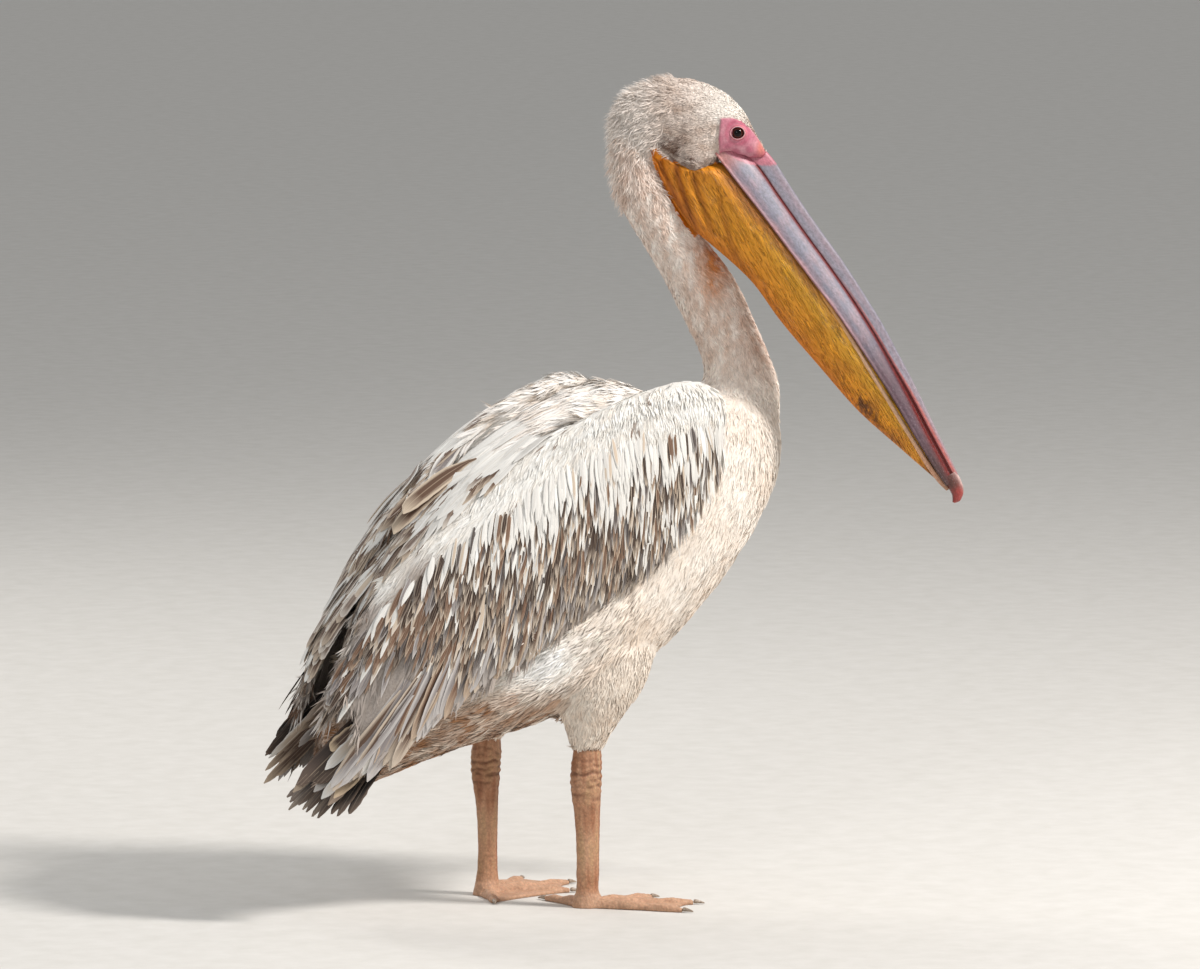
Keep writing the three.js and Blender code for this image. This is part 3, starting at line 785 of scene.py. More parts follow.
def vane_rows(line, normal, wide, uv, plume, edge, across=3, camber=0.12, ragged=0.0, random=None):
    """Points, faces and colours of many feathers. line and normal give each feather's midrib at its
    stations, and wide its width there, all in millimetres."""
    count, stations = line.shape[:2]
    each = stations * across
    s = np.linspace(-1, 1, across)
    along = unit(np.gradient(line, axis=1))
    side = unit(np.cross(normal, along))
    reach = wide[:, :, None] * s / 2
    if ragged:
        rough = 1 - ragged * random.random((count, stations, across)) ** 2
        reach = reach * np.where(np.abs(s) > 0.9, rough, 1)
    hump = camber * wide[:, :, None] * (1 - s**2)
    points = line[:, :, None] + side[:, :, None] * reach[..., None] + normal[:, :, None] * hump[..., None]
    grid = np.arange(each).reshape(stations, across)
    quads = np.stack([grid[:-1, :-1], grid[:-1, 1:], grid[1:, 1:], grid[1:, :-1]], -1).reshape(-1, 4)
    faces = (np.arange(count) * each)[:, None, None] + quads
    t = np.linspace(0, 1, stations)
    local = np.stack(np.broadcast_arrays(s / 2, t[:, None] - 0.5), -1).reshape(-1, 2)
    vane = np.tile(local + 0.5, (count, 1))
    vane[:, 1] += np.repeat(np.arange(count) % 97, each) * VANE_STEP
    return {
        "points": points.reshape(-1, 3), "faces": faces.reshape(-1, 4), "vane": vane,
        "OFBake": (uv[:, None] + local * PATCH_SIZE).reshape(-1, 2),
        "plume": np.repeat(plume, each, axis=0), "edge": np.repeat(edge, each, axis=0),
    }


def vane_piece(name, slot, batches, *replaced):
    """A coat piece made of batches of feathers."""
    shift, faces = 0, []
    for batch in batches:
        faces.append(batch["faces"] + shift)
        shift += len(batch["points"])
    keys = ("points", "OFBake", "vane", "plume", "edge")
    points, bake, vane, plume, edge = (np.concatenate([batch[key] for batch in batches]) for key in keys)
    piece = mesh_piece(f"coat_{name}", points, [np.concatenate(faces)],
                       {"OFBake": bake, "vane": vane}, {"plume": plume, "edge": edge})
    return dress(piece, VANED, slot, *replaced)


def lanceolate(t, width, fullest=0.45):
    """A feather's width along its length: narrow at the root, fullest partway and drawn to a point."""
    rising = 0.45 + 0.55 * np.sin(np.pi / 2 * np.clip(t / fullest, 0, 1))
    falling = np.cos(np.pi / 2 * np.clip((t - fullest) / (1 - fullest), 0, 1)) ** 0.8
    return width[:, None] * np.maximum(np.where(t < fullest, rising, falling), 0.05)


def round_tipped(t, width, fullest, tip):
    """A feather's width along its length: even, with a rounded end."""
    rising = 0.5 + 0.5 * np.sin(np.pi / 2 * np.clip(t / fullest, 0, 1))
    falling = np.sqrt(np.clip(1 - np.clip((t - fullest) / (1 - fullest), 0, 1) ** 2.6, 0, 1))
    return width[:, None] * np.maximum(np.where(t < fullest, rising, falling), tip)


def laid_lines(starts, way, lengths, stations, low, high):
    """Midribs that start on the skin and run over it, rising from low to high above it."""
    t = np.linspace(0, 1, stations)
    lines = np.empty((len(starts), stations, 3))
    normals = np.empty_like(lines)
    place, normal, uv = surface.onto(starts)
    for k in range(stations):
        if k:
            way = laid(way, normal)
            ahead = place + way * (lengths / (stations - 1))[:, None]
            place, normal, _ = surface.onto(ahead)
        lines[:, k] = place + normal * (low + (high - low) * t[k] ** 0.8)
        normals[:, k] = normal
    for _ in range(2):
        normals[:, 1:-1] = unit(normals[:, :-2] + normals[:, 1:-1] + normals[:, 2:])
        lines[:, 1:-1] = (lines[:, :-2] + 2 * lines[:, 1:-1] + lines[:, 2:]) / 4
    return lines, normals, uv


surface = SkinMap(skin, skin_part)


def skin_colours():
    """The markings again under the coat, a little darker as painted shade between the tufts, with the bare pink face
    and orange throat.
    """
    points = to_bird(points_of(skin.data))
    x, _, z = bird_to_head(points).T
    patch, gular = bareness(points)
    mottle = wavy(points, 12, 71)
    eye_gap = np.hypot(x - EYE_AT[0], z - EYE_AT[2])
    pink = blended(
        (188, 110, 128),
        ((206, 148, 158), 0.35 + 0.45 * mottle),
        ((214, 124, 92), 0.7 * bell(x, 127, 5) * bell(z, 1, 9)),
        ((172, 74, 90), 0.8 * ease(108, 130, x) * ease(8, -14, z)),
        ((186, 84, 108), 0.5 * bell(eye_gap, 12, 2)),
    )
    orange = blended((240, 150, 30), ((204, 104, 14), 0.4 + 0.4 * mottle))
    return blended(
        # the coat's markings a little darker: painted shade in the gaps between tufts
        markings(points, skin_part) * 0.93,
        (orange, gular * np.isin(skin_part, FACE_PARTS)),
        (pink, patch * (skin_part == HEAD)),
    )


paint(skin.data, "plume", skin_colours())


def vane_finish():
    """Each feather in its own colour, paler at its edges and tip, with a shaft and fine barbs."""
    finish = Finish("vaned_feathers", 0.72, Sheen_Weight=0.08, Specular_IOR_Level=0.3)
    split = finish.node("ShaderNodeSeparateXYZ", Vector=finish.place("vane"))
    off_middle = finish.maths("ABSOLUTE", finish.maths("SUBTRACT", split.outputs[0], 0.5))
    turn = finish.maths("FRACT", finish.maths("DIVIDE", split.outputs[1], VANE_STEP))
    near_tip = finish.ramp(turn, (0.24, 0.0), (0.32, 1.0))
    streaks = finish.noise(finish.place("vane", (34, 1.6, 1)), 3.0)
    blur = finish.maths("MULTIPLY", finish.maths("SUBTRACT", streaks, 0.5), 0.34)
    rim = finish.ramp(finish.maths("ADD", off_middle, blur), (0.24, 0.0), (0.42, 1.0))
    edged = finish.maths("MAXIMUM", rim, near_tip)
    base = finish.mix(edged, finish.painted(), finish.painted("edge"))
    base = finish.shaded(base, streaks, (0.32, 0.74), (0.68, 1.0))
    shaft = finish.ramp(off_middle, (0.012, 1.0), (0.035, 0.0))
    finish.colour(finish.mix(finish.maths("MULTIPLY", shaft, 0.35), base, (206, 186, 160)))
    finish.bump(finish.noise(finish.place("vane", (46, 5, 1)), 2.0), 0.35, 0.0006)
    return finish.material


DOWN = grained("short_feathers", 0.86, 240.0, (0.3, 0.93), (0.7, 1.0), Sheen_Weight=0.12, Sheen_Roughness=0.5,
               Specular_IOR_Level=0.25)
VANED = vane_finish()


SKIN = grained("body_skin", 0.7, 420.0, (0.3, 0.72), (0.7, 1.0), bump=(0.5, 0.0008), Specular_IOR_Level=0.3)
dress(skin, SKIN, "plumage", *FLESH)


# ------------------------------------------------------------------ short feathers of head, neck and body
def density_for(parts, amount, within=None):
    """Roots for each square millimetre of skin, on some parts only and none on bare skin."""
    on = np.isin(surface.triangle_part, parts) * amount
    patch, gular = bareness(surface.middle)
    head = surface.triangle_part == HEAD
    bare = np.maximum(patch * head, gular * np.isin(surface.triangle_part, FACE_PARTS))
    on = on * (bare < 0.5)
    return on if within is None else on * within(surface.middle)


def hidden_by_wing(points):
    """1 where a folded wing covers the trunk."""
    share = wing_share(points, WING_R)
    inside = (share > 0.2) & (share < 0.84) & (points[:, 0] < 84) & (points[:, 0] > -230)
    return inside & (np.abs(points[:, 1]) > 45)


head_roots = surface.roots(density_for([HEAD], 1.05), 31)
face_close = bird_to_head(head_roots["point"])[:, 0]
head_long = 3.4 + 2.8 * ease(96, 30, face_close) + 4.0 * ease(14, -26, face_close)
tufts("head", head_roots, head_long, 0.9, lift=0.46, droop=0.4, spread=0.36, contrast=0.09)


def fringe(name, edge, count, part, length, turn, seed):
    """Tufts along a line in the head's side view, on both sides, whose tips lie over bare skin."""
    edge = smooth_table(np.column_stack([np.linspace(0, 1, len(edge)), edge]))
    random = np.random.default_rng(seed)
    x, z = edge(random.random(count)).T + random.normal(size=(2, count)) * 1.2
    spots, uvs, normals, sides = [], [], [], []
    for i, side in enumerate(random.choice([-1, 1], count)):
        start = head_to_bird([x[i], side * 60, z[i]])[0]
        way = turned([0, -side, 0], HEAD_TURN)[0]
        place, normal, face, _ = surface.tree.ray_cast(Vector(start), Vector(way))
        if place is not None and surface.triangle_part[face] in FACE_PARTS:
            spots.append(place)
            normals.append(normal)
            uvs.append(surface.uv[face].mean(0))
            sides.append(side)
    roots = {"point": np.array(spots), "normal": np.array(normals), "uv": np.array(uvs),
             "part": np.full(len(spots), part), "random": random}
    tufts(name, roots, length, 1.0, lift=0.3, droop=0.4, contrast=0.1, turn=turn * np.array(sides))


CHEEK_EDGE = [(14, 11), (25, 6.5), (38, -4), (52, -16), (62, -19.5), (72, -15.5), (78, -9)]
NECK_EDGE = [(10, 2), (10, -8), (12.5, -19), (21.5, -42), (31.5, -61), (46.5, -85), (60, -104), (70, -118)]
fringe("cheek", CHEEK_EDGE, 3600, HEAD, 5.5, 0.5, 36)
fringe("throat_edge", NECK_EDGE, 3600, NECK_HIGH, 7.0, 0.45, 37)

behind, _, above = bird_to_head(surface.middle).T
shaggy = ease(34, 10, behind - 0.35 * np.clip(above - 20, 0, 40)) * ease(-70, -30, above)
nape_roots = surface.roots(density_for(FACE_PARTS, 0.12) * shaggy, 38)
tufts("nape", nape_roots, 11.0, 0.7, strands=3, lift=1.05, droop=0.35, spread=0.45, contrast=0.04)

neck_roots = surface.roots(density_for(NECK, 0.44), 32)
tufts("neck", neck_roots, 7.5, 1.0, lift=0.36, droop=0.45, contrast=0.09)

open_trunk = density_for([TRUNK], 1.0, lambda p: ~hidden_by_wing(p))
ahead, beside, height = surface.middle.T
belly = 0.05 + 0.075 * ease(330, 250, height)
for region, chosen, density, long, thin, strands, lift, contrast in (
    ("breast", ahead > 60, 0.2, 13, 1.4, 2, 0.12, 0.04),
    ("belly", ahead <= 60, belly, 18, 1.6, 3, 0.32, 0.1),
):
    for side, half in ((-1, beside < 0), (1, beside >= 0)):
        name = f"{region}_{side_name(side)}"
        roots = surface.roots(open_trunk * (chosen & half) * density, 33 + len(name))
        tufts(name, roots, long, thin, strands, 4, lift, 0.65, 0.17, contrast)
thigh_roots = surface.roots(density_for(THIGHS, 0.24), 35)
tufts("thighs", thigh_roots, 11.0, 1.2, stations=4, lift=0.3, spread=0.22, contrast=0.07)


# ------------------------------------------------------------------ wings
UMBER, SLATE, TAN, CREAM, WHITE, ASH = (
    (60, 43, 35), (80, 72, 70), (116, 87, 69), (206, 188, 168), (236, 233, 227), (146, 138, 136),
)
COVERTS = [UMBER, SLATE, TAN, CREAM, WHITE, ASH]
COVERT_EDGES = [(204, 188, 170), (186, 178, 172), (194, 172, 150), WHITE, WHITE, (202, 196, 192)]
BLADE_EDGES = [(200, 182, 162), (222, 212, 200), WHITE, WHITE]


def picked(random, weights, colours, edges):
    """One of a few colours for each feather, that of its edge, and its number. weights has a row for
    each feather."""
    order = np.cumsum(weights / weights.sum(1, keepdims=True), 1)
    number = (random.random((len(weights), 1)) > order).sum(1)
    plume, edge = (np.array([linear(*colour) for colour in table])[number] for table in (colours, edges))
    return plume * (1 + 0.1 * random.normal(size=(len(weights), 1))), edge, number


OUTSIDE = 300.0  # clear of the bird's side
INNERMOST = 22.0  # nothing is hung nearer to the middle than this
LEAP = 5.0  # a midrib doesn't follow a step in the surface larger than this


def draped(side, x, z, lean, length, stations, low, high, bow=0.0):
    """Midribs that hang straight in the side view over the outer face of the bird, and run on past
    its edges. Feathers that miss the bird are left out."""
    t = np.linspace(0, 1, stations)
    angle = lean[:, None] + bow * t[None] ** 2
    step = (length / (stations - 1))[:, None]
    ahead = x[:, None] - np.cumsum(np.sin(angle) * step, 1) + np.sin(angle[:, :1]) * step
    height = z[:, None] - np.cumsum(np.cos(angle) * step, 1) + np.cos(angle[:, :1]) * step
    count = len(x)
    lines, normals = np.zeros((count, stations, 3)), np.zeros((count, stations, 3))
    uv, found = np.zeros((count, 2)), np.zeros(count, bool)

    def outermost(i, k):
        start = Vector((ahead[i, k], side * OUTSIDE, height[i, k]))
        return surface.tree.ray_cast(start, Vector((0, -side, 0)))[:3]

    for i in range(count):
        spot, normal, face = outermost(i, 0)
        if spot is None or spot[1] * side < INNERMOST:
            continue
        found[i] = True
        uv[i] = surface.uv[face].mean(0)
        out, slope = spot[1] * side, 0.0
        for k in range(stations):
            if k:
                spot, new_normal, _ = outermost(i, k)
                guess = out + slope
                if spot is not None and abs(spot[1] * side - guess) < LEAP:
                    slope = 0.5 * slope + 0.5 * (spot[1] * side - out)
                    out, normal = spot[1] * side, new_normal
                else:
                    out, slope = guess, slope * 0.8
            lines[i, k] = ahead[i, k], out * side, height[i, k]
            normals[i, k] = normal
    lines, normals, uv = lines[found], normals[found], uv[found]
    for _ in range(2):
        lines[:, 1:-1, 1] = (lines[:, :-2, 1] + 2 * lines[:, 1:-1, 1] + lines[:, 2:, 1]) / 4
        normals[:, 1:-1] = normals[:, :-2] + 2 * normals[:, 1:-1] + normals[:, 2:]
        normals = unit(normals + np.array([0, side * 0.25, 0]))
    lines = lines + normals * (low + (high - low) * t ** 0.8)[None, :, None]
    return lines, normals, uv, found


def wing_place(side, x):
    """Heights of the upper and of the lower edge of a folded wing."""
    late = FAR_WING_BACK if side > 0 else 0.0
    return wing_edges(x + late).T - late * FAR_WING_LOW


def lean_at(x):
    """How far the feathers of the wing slant back from hanging straight down, in radians."""
    return np.radians(np.interp(x, [-275, -200, -120, 0, 80, 140], [33, 23, 13, 5, -2, -6]))


def wing_coverts(side, seed):
    """Rows of narrow lanceolate feathers that hang down the outer face of a folded wing."""
    random = np.random.default_rng(seed)
    x, z = [], []
    for column, ahead in enumerate(np.arange(-274, 142, 3.5)):
        upper, lower = wing_place(side, np.array([ahead]))[:, 0]
        steps = np.arange(upper - 4 - 5.0 * (column % 2), lower + 10, -10.0)
        x.append(np.full(len(steps), ahead))
        z.append(steps)
    x, z = np.concatenate(x), np.concatenate(z)
    x = x + random.uniform(-2.2, 2.2, len(x))
    z = z + random.uniform(-4.4, 4.4, len(z))
    upper, lower = wing_place(side, x)
    share = (upper - z) / (upper - lower)
    rear = ease(-120, -215, x)
    front = ease(20, 105, x)
    length = (34 + 20 * ease(0.2, 0.5, share) - 9 * front) * random.uniform(0.85, 1.2, len(x))
    last = 1.02 - 0.34 * rear + 0.05 * random.random(len(x))
    kept = (share + length * 0.95 / (upper - lower) < last) & (share > 0.17 + 0.14 * front)
    x, z, share, length, rear, front = (v[kept] for v in (x, z, share, length, rear, front))
    place = np.stack([x, 0 * x, z], 1)
    lean = lean_at(x) + 0.06 * random.normal(size=len(x)) + 0.07 * wavy(place, 30, 12)
    lines, normals, uv, found = draped(side, x, z, lean, length, 8, 0.5, 4.3)
    place, share, rear, front = (v[found] for v in (place, share, rear, front))
    turn = np.interp(place[:, 0], [-240, -170, -60, 0, 90], [-0.03, 0.11, 0.27, 0.29, 0.31])
    dark = ease(-0.10, 0.20, share - turn + 0.06 * wavy(place, 45, 14) + 0.07 * wavy(place, 12, 15))
    dark = dark * (1 - 0.42 * front)
    patchy = 0.5 + 0.5 * wavy(place, 24, 16)
    low = ease(0.5, 0.85, share)
    weights = np.stack([
        dark * (0.85 + 0.4 * low) * (0.5 + patchy), dark * (0.28 + 0.35 * low), dark * (0.36 + 0.65 * rear),
        dark * 0.12 + 0.12 * (1 - dark), (1 - dark) * 1.6 + dark * (0.24 - 0.16 * low) * (1.3 - patchy),
        dark * 0.28 * rear,
    ], 1)
    plume, edges, kind = picked(random, np.clip(weights, 0.0005, None), COVERTS, COVERT_EDGES)
    worn = random.random(len(kind)) < 0.3 + 0.45 * rear
    edges[worn] = 0.4 * edges[worn] + 0.6 * plume[worn]
    spots = (kind == COVERTS.index(WHITE)) & (share < 0.45) & (random.random(len(kind)) < 0.05)
    plume[spots] = linear(112, 80, 54)
    width = (6.4 - 1.8 * (1 - dark)) * random.uniform(0.8, 1.2, len(kind))
    wide = lanceolate(np.linspace(0, 1, 8), width)
    return vane_rows(lines, normals, wide, uv, plume, edges, 3, 0.13)


def secondaries(side, seed):
    """The long grey and brown feathers under the coverts, which make the wing's lower edge."""
    random = np.random.default_rng(seed)
    count = 58
    tip = np.linspace(-286, 0, count) + random.uniform(-2, 2, count)
    tip = tip[random.permutation(count)]
    lower = wing_place(side, tip)[1]
    lean = lean_at(tip) + 0.03 * random.normal(size=count)
    length = np.interp(tip, [-286, -200, -100, 0], [124, 128, 96, 70]) * random.uniform(0.92, 1.08, count)
    past = np.interp(tip, [-286, -230, -190, -130, 0], [4, 12, 15, 3, 0]) + random.uniform(-6, 5, count)
    x = tip + np.sin(lean) * length
    z = np.minimum(lower - past + np.cos(lean) * length, wing_place(side, x)[0] - 8)
    lines, normals, uv, found = draped(side, x, z, lean, length, 14, 0.4, 3.0)
    tip = tip[found]
    rear = ease(-90, -190, tip)
    weights = np.stack([
        0.34 - 0.1 * rear, 0.3 - 0.12 * rear, 0.16 + 0 * rear, 0.06 + 0.1 * rear, 0.12 + 0.42 * rear,
    ], 1)
    plume, edges, _ = picked(random, weights, [(96, 74, 60), SLATE, TAN, (188, 176, 160), ASH],
                             [*COVERT_EDGES[:3], WHITE, COVERT_EDGES[-1]])
    width = np.interp(tip, [-286, -180, 0], [17, 16, 12]) * random.uniform(0.85, 1.12, len(tip))
    wide = round_tipped(np.linspace(0, 1, 14), width, 0.55, 0.06)
    normals = unit(normals + 0.22 * random.normal(size=(len(tip), 1, 3)))
    return vane_rows(lines, normals, wide, uv, plume, edges, 5, 0.06, 0.12, random)


def wing_down(side, seed):
    """Fine silky strands over the leading edge, the upper part and the inner face of a wing."""
    part = WINGS[side > 0]
    share = wing_share(surface.middle, surface.triangle_part)
    corner, second, third = (surface.points[surface.corners[:, k]] for k in range(3))
    outer = ease(0.35, 0.6, unit(np.cross(second - corner, third - corner))[:, 1] * side)
    density = 0.045 + outer * (0.10 * (share < 0.42) - 0.04 * (share > 0.5))
    roots = surface.roots((surface.triangle_part == part) * density, seed)
    share = wing_share(roots["point"], part)
    long = 15 + 9 * ease(0.0, 0.3, share) - 5 * ease(60, 130, roots["point"][:, 0])
    tufts(f"wing_down_{side_name(side)}", roots, long, 1.9, 3, 4, 0.11, 0.75, 0.12, 0.04, slot="wing_coverts")


def scapular_down(side, seed):
    """The long silky strands of the leaf that lies over the upper edge of each folded wing."""
    roots = surface.roots((surface.triangle_part == BACK[side > 0]) * 0.13, seed)
    long = 20 + 12 * ease(60, -60, roots["point"][:, 0])
    tufts(f"back_{side_name(side)}", roots, long, 2.0, 3, 4, 0.12, 0.8, 0.1, slot="wing_coverts")


def scapulars(side, seed):
    """The broader blades that lie over the rear half of the leaf."""
    thick = ease(-10, -80, surface.middle[:, 0])
    roots = surface.roots((surface.triangle_part == BACK[side > 0]) * 0.013 * thick, seed)
    random = roots["random"]
    starts, normals = roots["point"], roots["normal"]
    ways = laid(lie(starts, roots["part"]), normals)
    out = np.abs(starts[:, 1]) - np.interp(starts[:, 0], [-276, -130, 0, 98], [30, 43, 49, 57])
    ways = spun(ways, normals, 0.06 * random.normal(size=len(ways)) - side * 0.004 * out)
    length = 66 * random.uniform(0.8, 1.2, len(ways))
    length = np.minimum(length, 14 + 0.95 * np.maximum(starts[:, 0] + 268, 0))
    width = 13 * random.uniform(0.7, 1.25, len(ways))
    patchy = 0.5 + 0.5 * wavy(starts, 60, 18)
    dark = ease(-60, -120, starts[:, 0] + 120 * (patchy - 0.5))
    weights = np.stack([0.8 * dark, 0.5 * dark, 0.15 * dark, 1.4 * (1 - 0.85 * dark)], 1)
    plume, edges, _ = picked(random, np.clip(weights, 0.001, None),
                             [(98, 74, 60), (124, 104, 92), ASH, WHITE], BLADE_EDGES)
    lines, normals, uv = laid_lines(starts, ways, length, 8, 0.8, 4.2)
    wide = lanceolate(np.linspace(0, 1, 8), width, 0.5)
    return vane_rows(lines, normals, wide, uv, plume, edges, 3, 0.08)


def mantle(seed):
    """Feathers that fill the hollow of the back between the two wings."""
    random = np.random.default_rng(seed)
    count = 320
    x = np.sort(random.uniform(-262, 84, count))
    across = random.uniform(-1, 1, count)
    y = 5 + across * np.interp(x, [-262, -200, -100, 60], [20, 24, 26, 32])
    length = np.interp(x, [-262, -236, -100, 84], [40, 56, 66, 40]) * random.uniform(0.8, 1.2, count)
    slope = np.radians(np.interp(x, [-262, -236, -136, -82, 84], [62, 54, 43, 33, 24]))
    roof = wing_place(-1, x)[0] - np.interp(x, [-236, -100, 0, 80], [12, 20, 20, 14])
    sag = 7 * (1 - across**2)
    roots = np.stack([x, y, roof - sag - 3], 1)
    end, low = x - np.cos(slope) * length, roof - np.sin(slope) * length - sag
    tips = np.stack([end, 5 + (y - 5) * 0.9, low + 2.5], 1)
    up = np.stack([-np.sin(slope), across * 0.25, np.cos(slope)], 1)
    rear = ease(-40, -150, x + 60 * wavy(roots, 40, 19))
    weights = np.stack([0.5 * rear, 0.4 * rear, 0.1 + 0 * rear, 1.4 * (1 - 0.8 * rear)], 1)
    plume, edges, _ = picked(random, weights, [(98, 74, 60), (128, 110, 98), CREAM, WHITE], BLADE_EDGES)
    width = random.uniform(8, 14, count)
    return straight_vanes(roots, tips, width, unit(up), 2.0, plume, edges, seed, 0.14, 0.06)


def long_scapulars(side, seed):
    """The big brown and white blades at the rear of the scapular leaf."""
    random = np.random.default_rng(seed)
    x = np.linspace(-104, -228, 26)
    z = wing_place(side, x)[0] + random.uniform(0, 24, len(x)) * np.interp(x, [-228, -150], [0.3, 1])
    lean = np.radians(np.interp(x, [-228, -192, -136, -92], [31, 41, 50, 55]))
    lean = lean + 0.05 * random.normal(size=len(x))
    length = np.interp(x, [-228, -92], [66, 84]) * random.uniform(0.8, 1.2, len(x))
    lines, normals, uv, found = draped(side, x, z, lean, length, 14, 4.2, 7.2, -0.16)
    gap = bell(x[found], -158, 9)[:, None]
    weights = np.array([0.55, 0.35, 0.10]) * (1 - gap) + np.array([0, 0.02, 1]) * gap
    plume, edges, kind = picked(random, weights, [(104, 78, 62), (128, 106, 92), WHITE],
                                [(208, 190, 168), WHITE, WHITE])
    normals = unit(normals + np.array([0, -0.55 if side < 0 else 0.15, 0]))
    lines = lines + normals * (1.8 * (kind < 2))[:, None, None]
    width = 18 * random.uniform(0.75, 1.15, len(lines))
    t = np.linspace(0, 1, 14)
    wide = round_tipped(t, width, 0.6, 0.06) * np.interp(t, [0, 0.3], [0.2, 1])
    return vane_rows(lines, normals, wide, uv, plume, edges, 5, 0.08, 0.14, random)


def straight_vanes(roots, tips, width, up, sag, plume, edge, seed, ragged=0.12, tip_width=0.1):
    """Long feathers from root to tip, sagging a little. up is one way for all, or one for each."""
    random = np.random.default_rng(seed)
    t = np.linspace(0, 1, 16)
    up = np.broadcast_to(up, roots.shape)
    line = roots[:, None] + (tips - roots)[:, None] * t[None, :, None]
    line = line + (sag * np.sin(np.pi * t))[None, :, None] * up[:, None]
    normal = np.repeat(up[:, None], len(t), 1)
    uv = surface.onto(roots)[2]
    wide = round_tipped(t, width, 0.7, tip_width)
    return vane_rows(line, normal, wide, uv, plume, edge, 5, 0.06, ragged, random)


def wing_tip(side, seed):
    """The dark primaries, the long pale-edged tertials that hang over them at the rear, and the
    feathers of the inner face."""
    random = np.random.default_rng(seed)
    lift = 0 if side < 0 else 24
    along = unit(np.array([-182.0 - lift / 2, side * -24, -166.0 + lift]))
    across = unit(np.array([0.55, side * 0.45, -0.7]))
    up = unit(np.cross(along, across))
    up = up * np.sign(up[1] * side)
    root = np.array([-132.0, side * 57, 286.0 + lift * 0.1])
    tip = np.array([-300.0 - lift / 2, side * 35, 138.0 + lift])
    count = 10
    s = np.linspace(-1, 1, count)[:, None]
    roots = root + across * s * 17 + up * s * 1.6
    ends = tip + across * s * 15 - along * 15 * (s + 1) ** 1.3 + up * s * 1.6
    ends = ends + along * random.uniform(-4, 4, (count, 1))
    plume = linear(40, 34, 34) * random.uniform(0.8, 1.4, (count, 1))
    edges = np.tile(linear(104, 88, 78), (count, 1)) * random.uniform(0.6, 1.3, (count, 1))
    quills = straight_vanes(roots, ends, 19 * random.uniform(0.9, 1.1, count), up, 2.5, plume, edges, seed)
    count = 16
    s = random.uniform(-1, 1, (count, 1))
    start = random.uniform(0.25, 0.62, (count, 1))
    roots = root + (tip - root) * start + across * s * 16 + up * 5.5
    ends = tip + across * (s * 20 + 4) - along * random.uniform(4, 62, (count, 1))
    ends = ends + up * random.uniform(2, 6, (count, 1))
    plume, edges, _ = picked(random, np.tile([0.3, 0.25, 0.3, 0.15], (count, 1)),
                             [(88, 70, 60), ASH, (66, 58, 56), CREAM],
                             [(214, 190, 160), (218, 212, 206), (150, 132, 116), WHITE])
    drapes = straight_vanes(roots, ends, random.uniform(7, 17, count), up, 1.5, plume, edges, seed + 1, 0.2)
    count = 26
    s = random.uniform(-1, 1, (count, 1))
    start = random.uniform(-0.15, 0.6, (count, 1))
    roots = root + (tip - root) * start + across * s * 18 - up * 4.5
    ends = roots + along * random.uniform(70, 120, (count, 1)) - up * 2.5
    plume, edges, _ = picked(random, np.tile([0.35, 0.3, 0.2, 0.15], (count, 1)),
                             [(98, 78, 66), ASH, (128, 110, 98), CREAM],
                             [(200, 180, 158), (218, 212, 206), (206, 192, 178), WHITE])
    inner = straight_vanes(roots, ends, random.uniform(10, 18, count), -up, 1.5, plume, edges, seed + 2, 0.2)
    return quills, drapes, inner


def tail_feathers(seed):
    """A short fan of dark feathers with worn pale edges, in two layers."""
    random = np.random.default_rng(seed)
    share = np.concatenate([np.linspace(-1, 1, 12), np.linspace(-0.85, 0.85, 9)])
    count = len(share)
    layer = np.repeat([0, 1], (12, 9))
    turn = np.radians(22 * share)
    slope = math.radians(40)
    reach = 121 - 14 * share**2 + random.uniform(-7, 5, count) - 34 * layer
    up = np.array([-math.sin(slope), 0, math.cos(slope)])
    raised = up * ((np.arange(count) % 2) * 1.4 - 0.7 + 3.4 * layer)[:, None]

    def place(distance):
        back, out = distance * np.cos(turn), distance * np.sin(turn) + 29 * share
        low = 190 - back * math.sin(slope) - 9 * share**2
        return np.stack([-196 - back * math.cos(slope), out, low], 1) + raised

    plume, edges, _ = picked(random, np.tile([0.6, 0.4], (count, 1)), [(46, 37, 33), (68, 56, 50)],
                             [(116, 98, 84), (150, 134, 118)])
    width = 19 * random.uniform(0.88, 1.1, count)
    return straight_vanes(place(6.0), place(reach), width, up, 2.0, plume, edges, seed, 0.25, 0.2)


for side, seed in ((-1, 50), (1, 60)):
    name = side_name(side)
    wing_down(side, seed)
    scapular_down(side, seed + 6)
    vane_piece(f"wing_{name}", "wing_coverts", [secondaries(side, seed + 1), wing_coverts(side, seed + 2)])
    blades = [scapulars(side, seed + 3), long_scapulars(side, seed + 4)]
    vane_piece(f"scapulars_{name}", "wing_coverts", blades)
    vane_piece(f"wing_tip_{name}", "flight_feathers", wing_tip(side, seed + 5), f"primaries_{name}")
vane_piece("mantle", "wing_coverts", [mantle(72)])
vane_piece("tail", "flight_feathers", [tail_feathers(70)], "tail")


# ------------------------------------------------------------------ bill, pouch and eyes
def smooth_path(keys, places, samples):
    """Smooth lines through a few points each. keys has a row of points for each line."""
    lines, count, size = keys.shape
    table = smooth_table(np.column_stack([places, keys.transpose(1, 0, 2).reshape(count, -1)]))
    return table(samples).reshape(len(samples), lines, size).transpose(1, 0, 2)


def both_sides(half, places, count):
    """Sections round a long form, from points (out, height) of its right half, top and bottom in the
    middle."""
    keys = np.array([np.broadcast_arrays(*pair) for pair in half]).transpose(2, 0, 1)
    right = smooth_path(keys, places, np.linspace(0, places[-1], count))
    return np.concatenate([right * [-1, 1], right[:, ::-1][:, 1:]], 1)


def girth_of(section):
    """How far round its section each point lies."""
    return np.cumsum(np.linalg.norm(np.diff(section, axis=1, prepend=section[:, :1]), axis=2), 1)


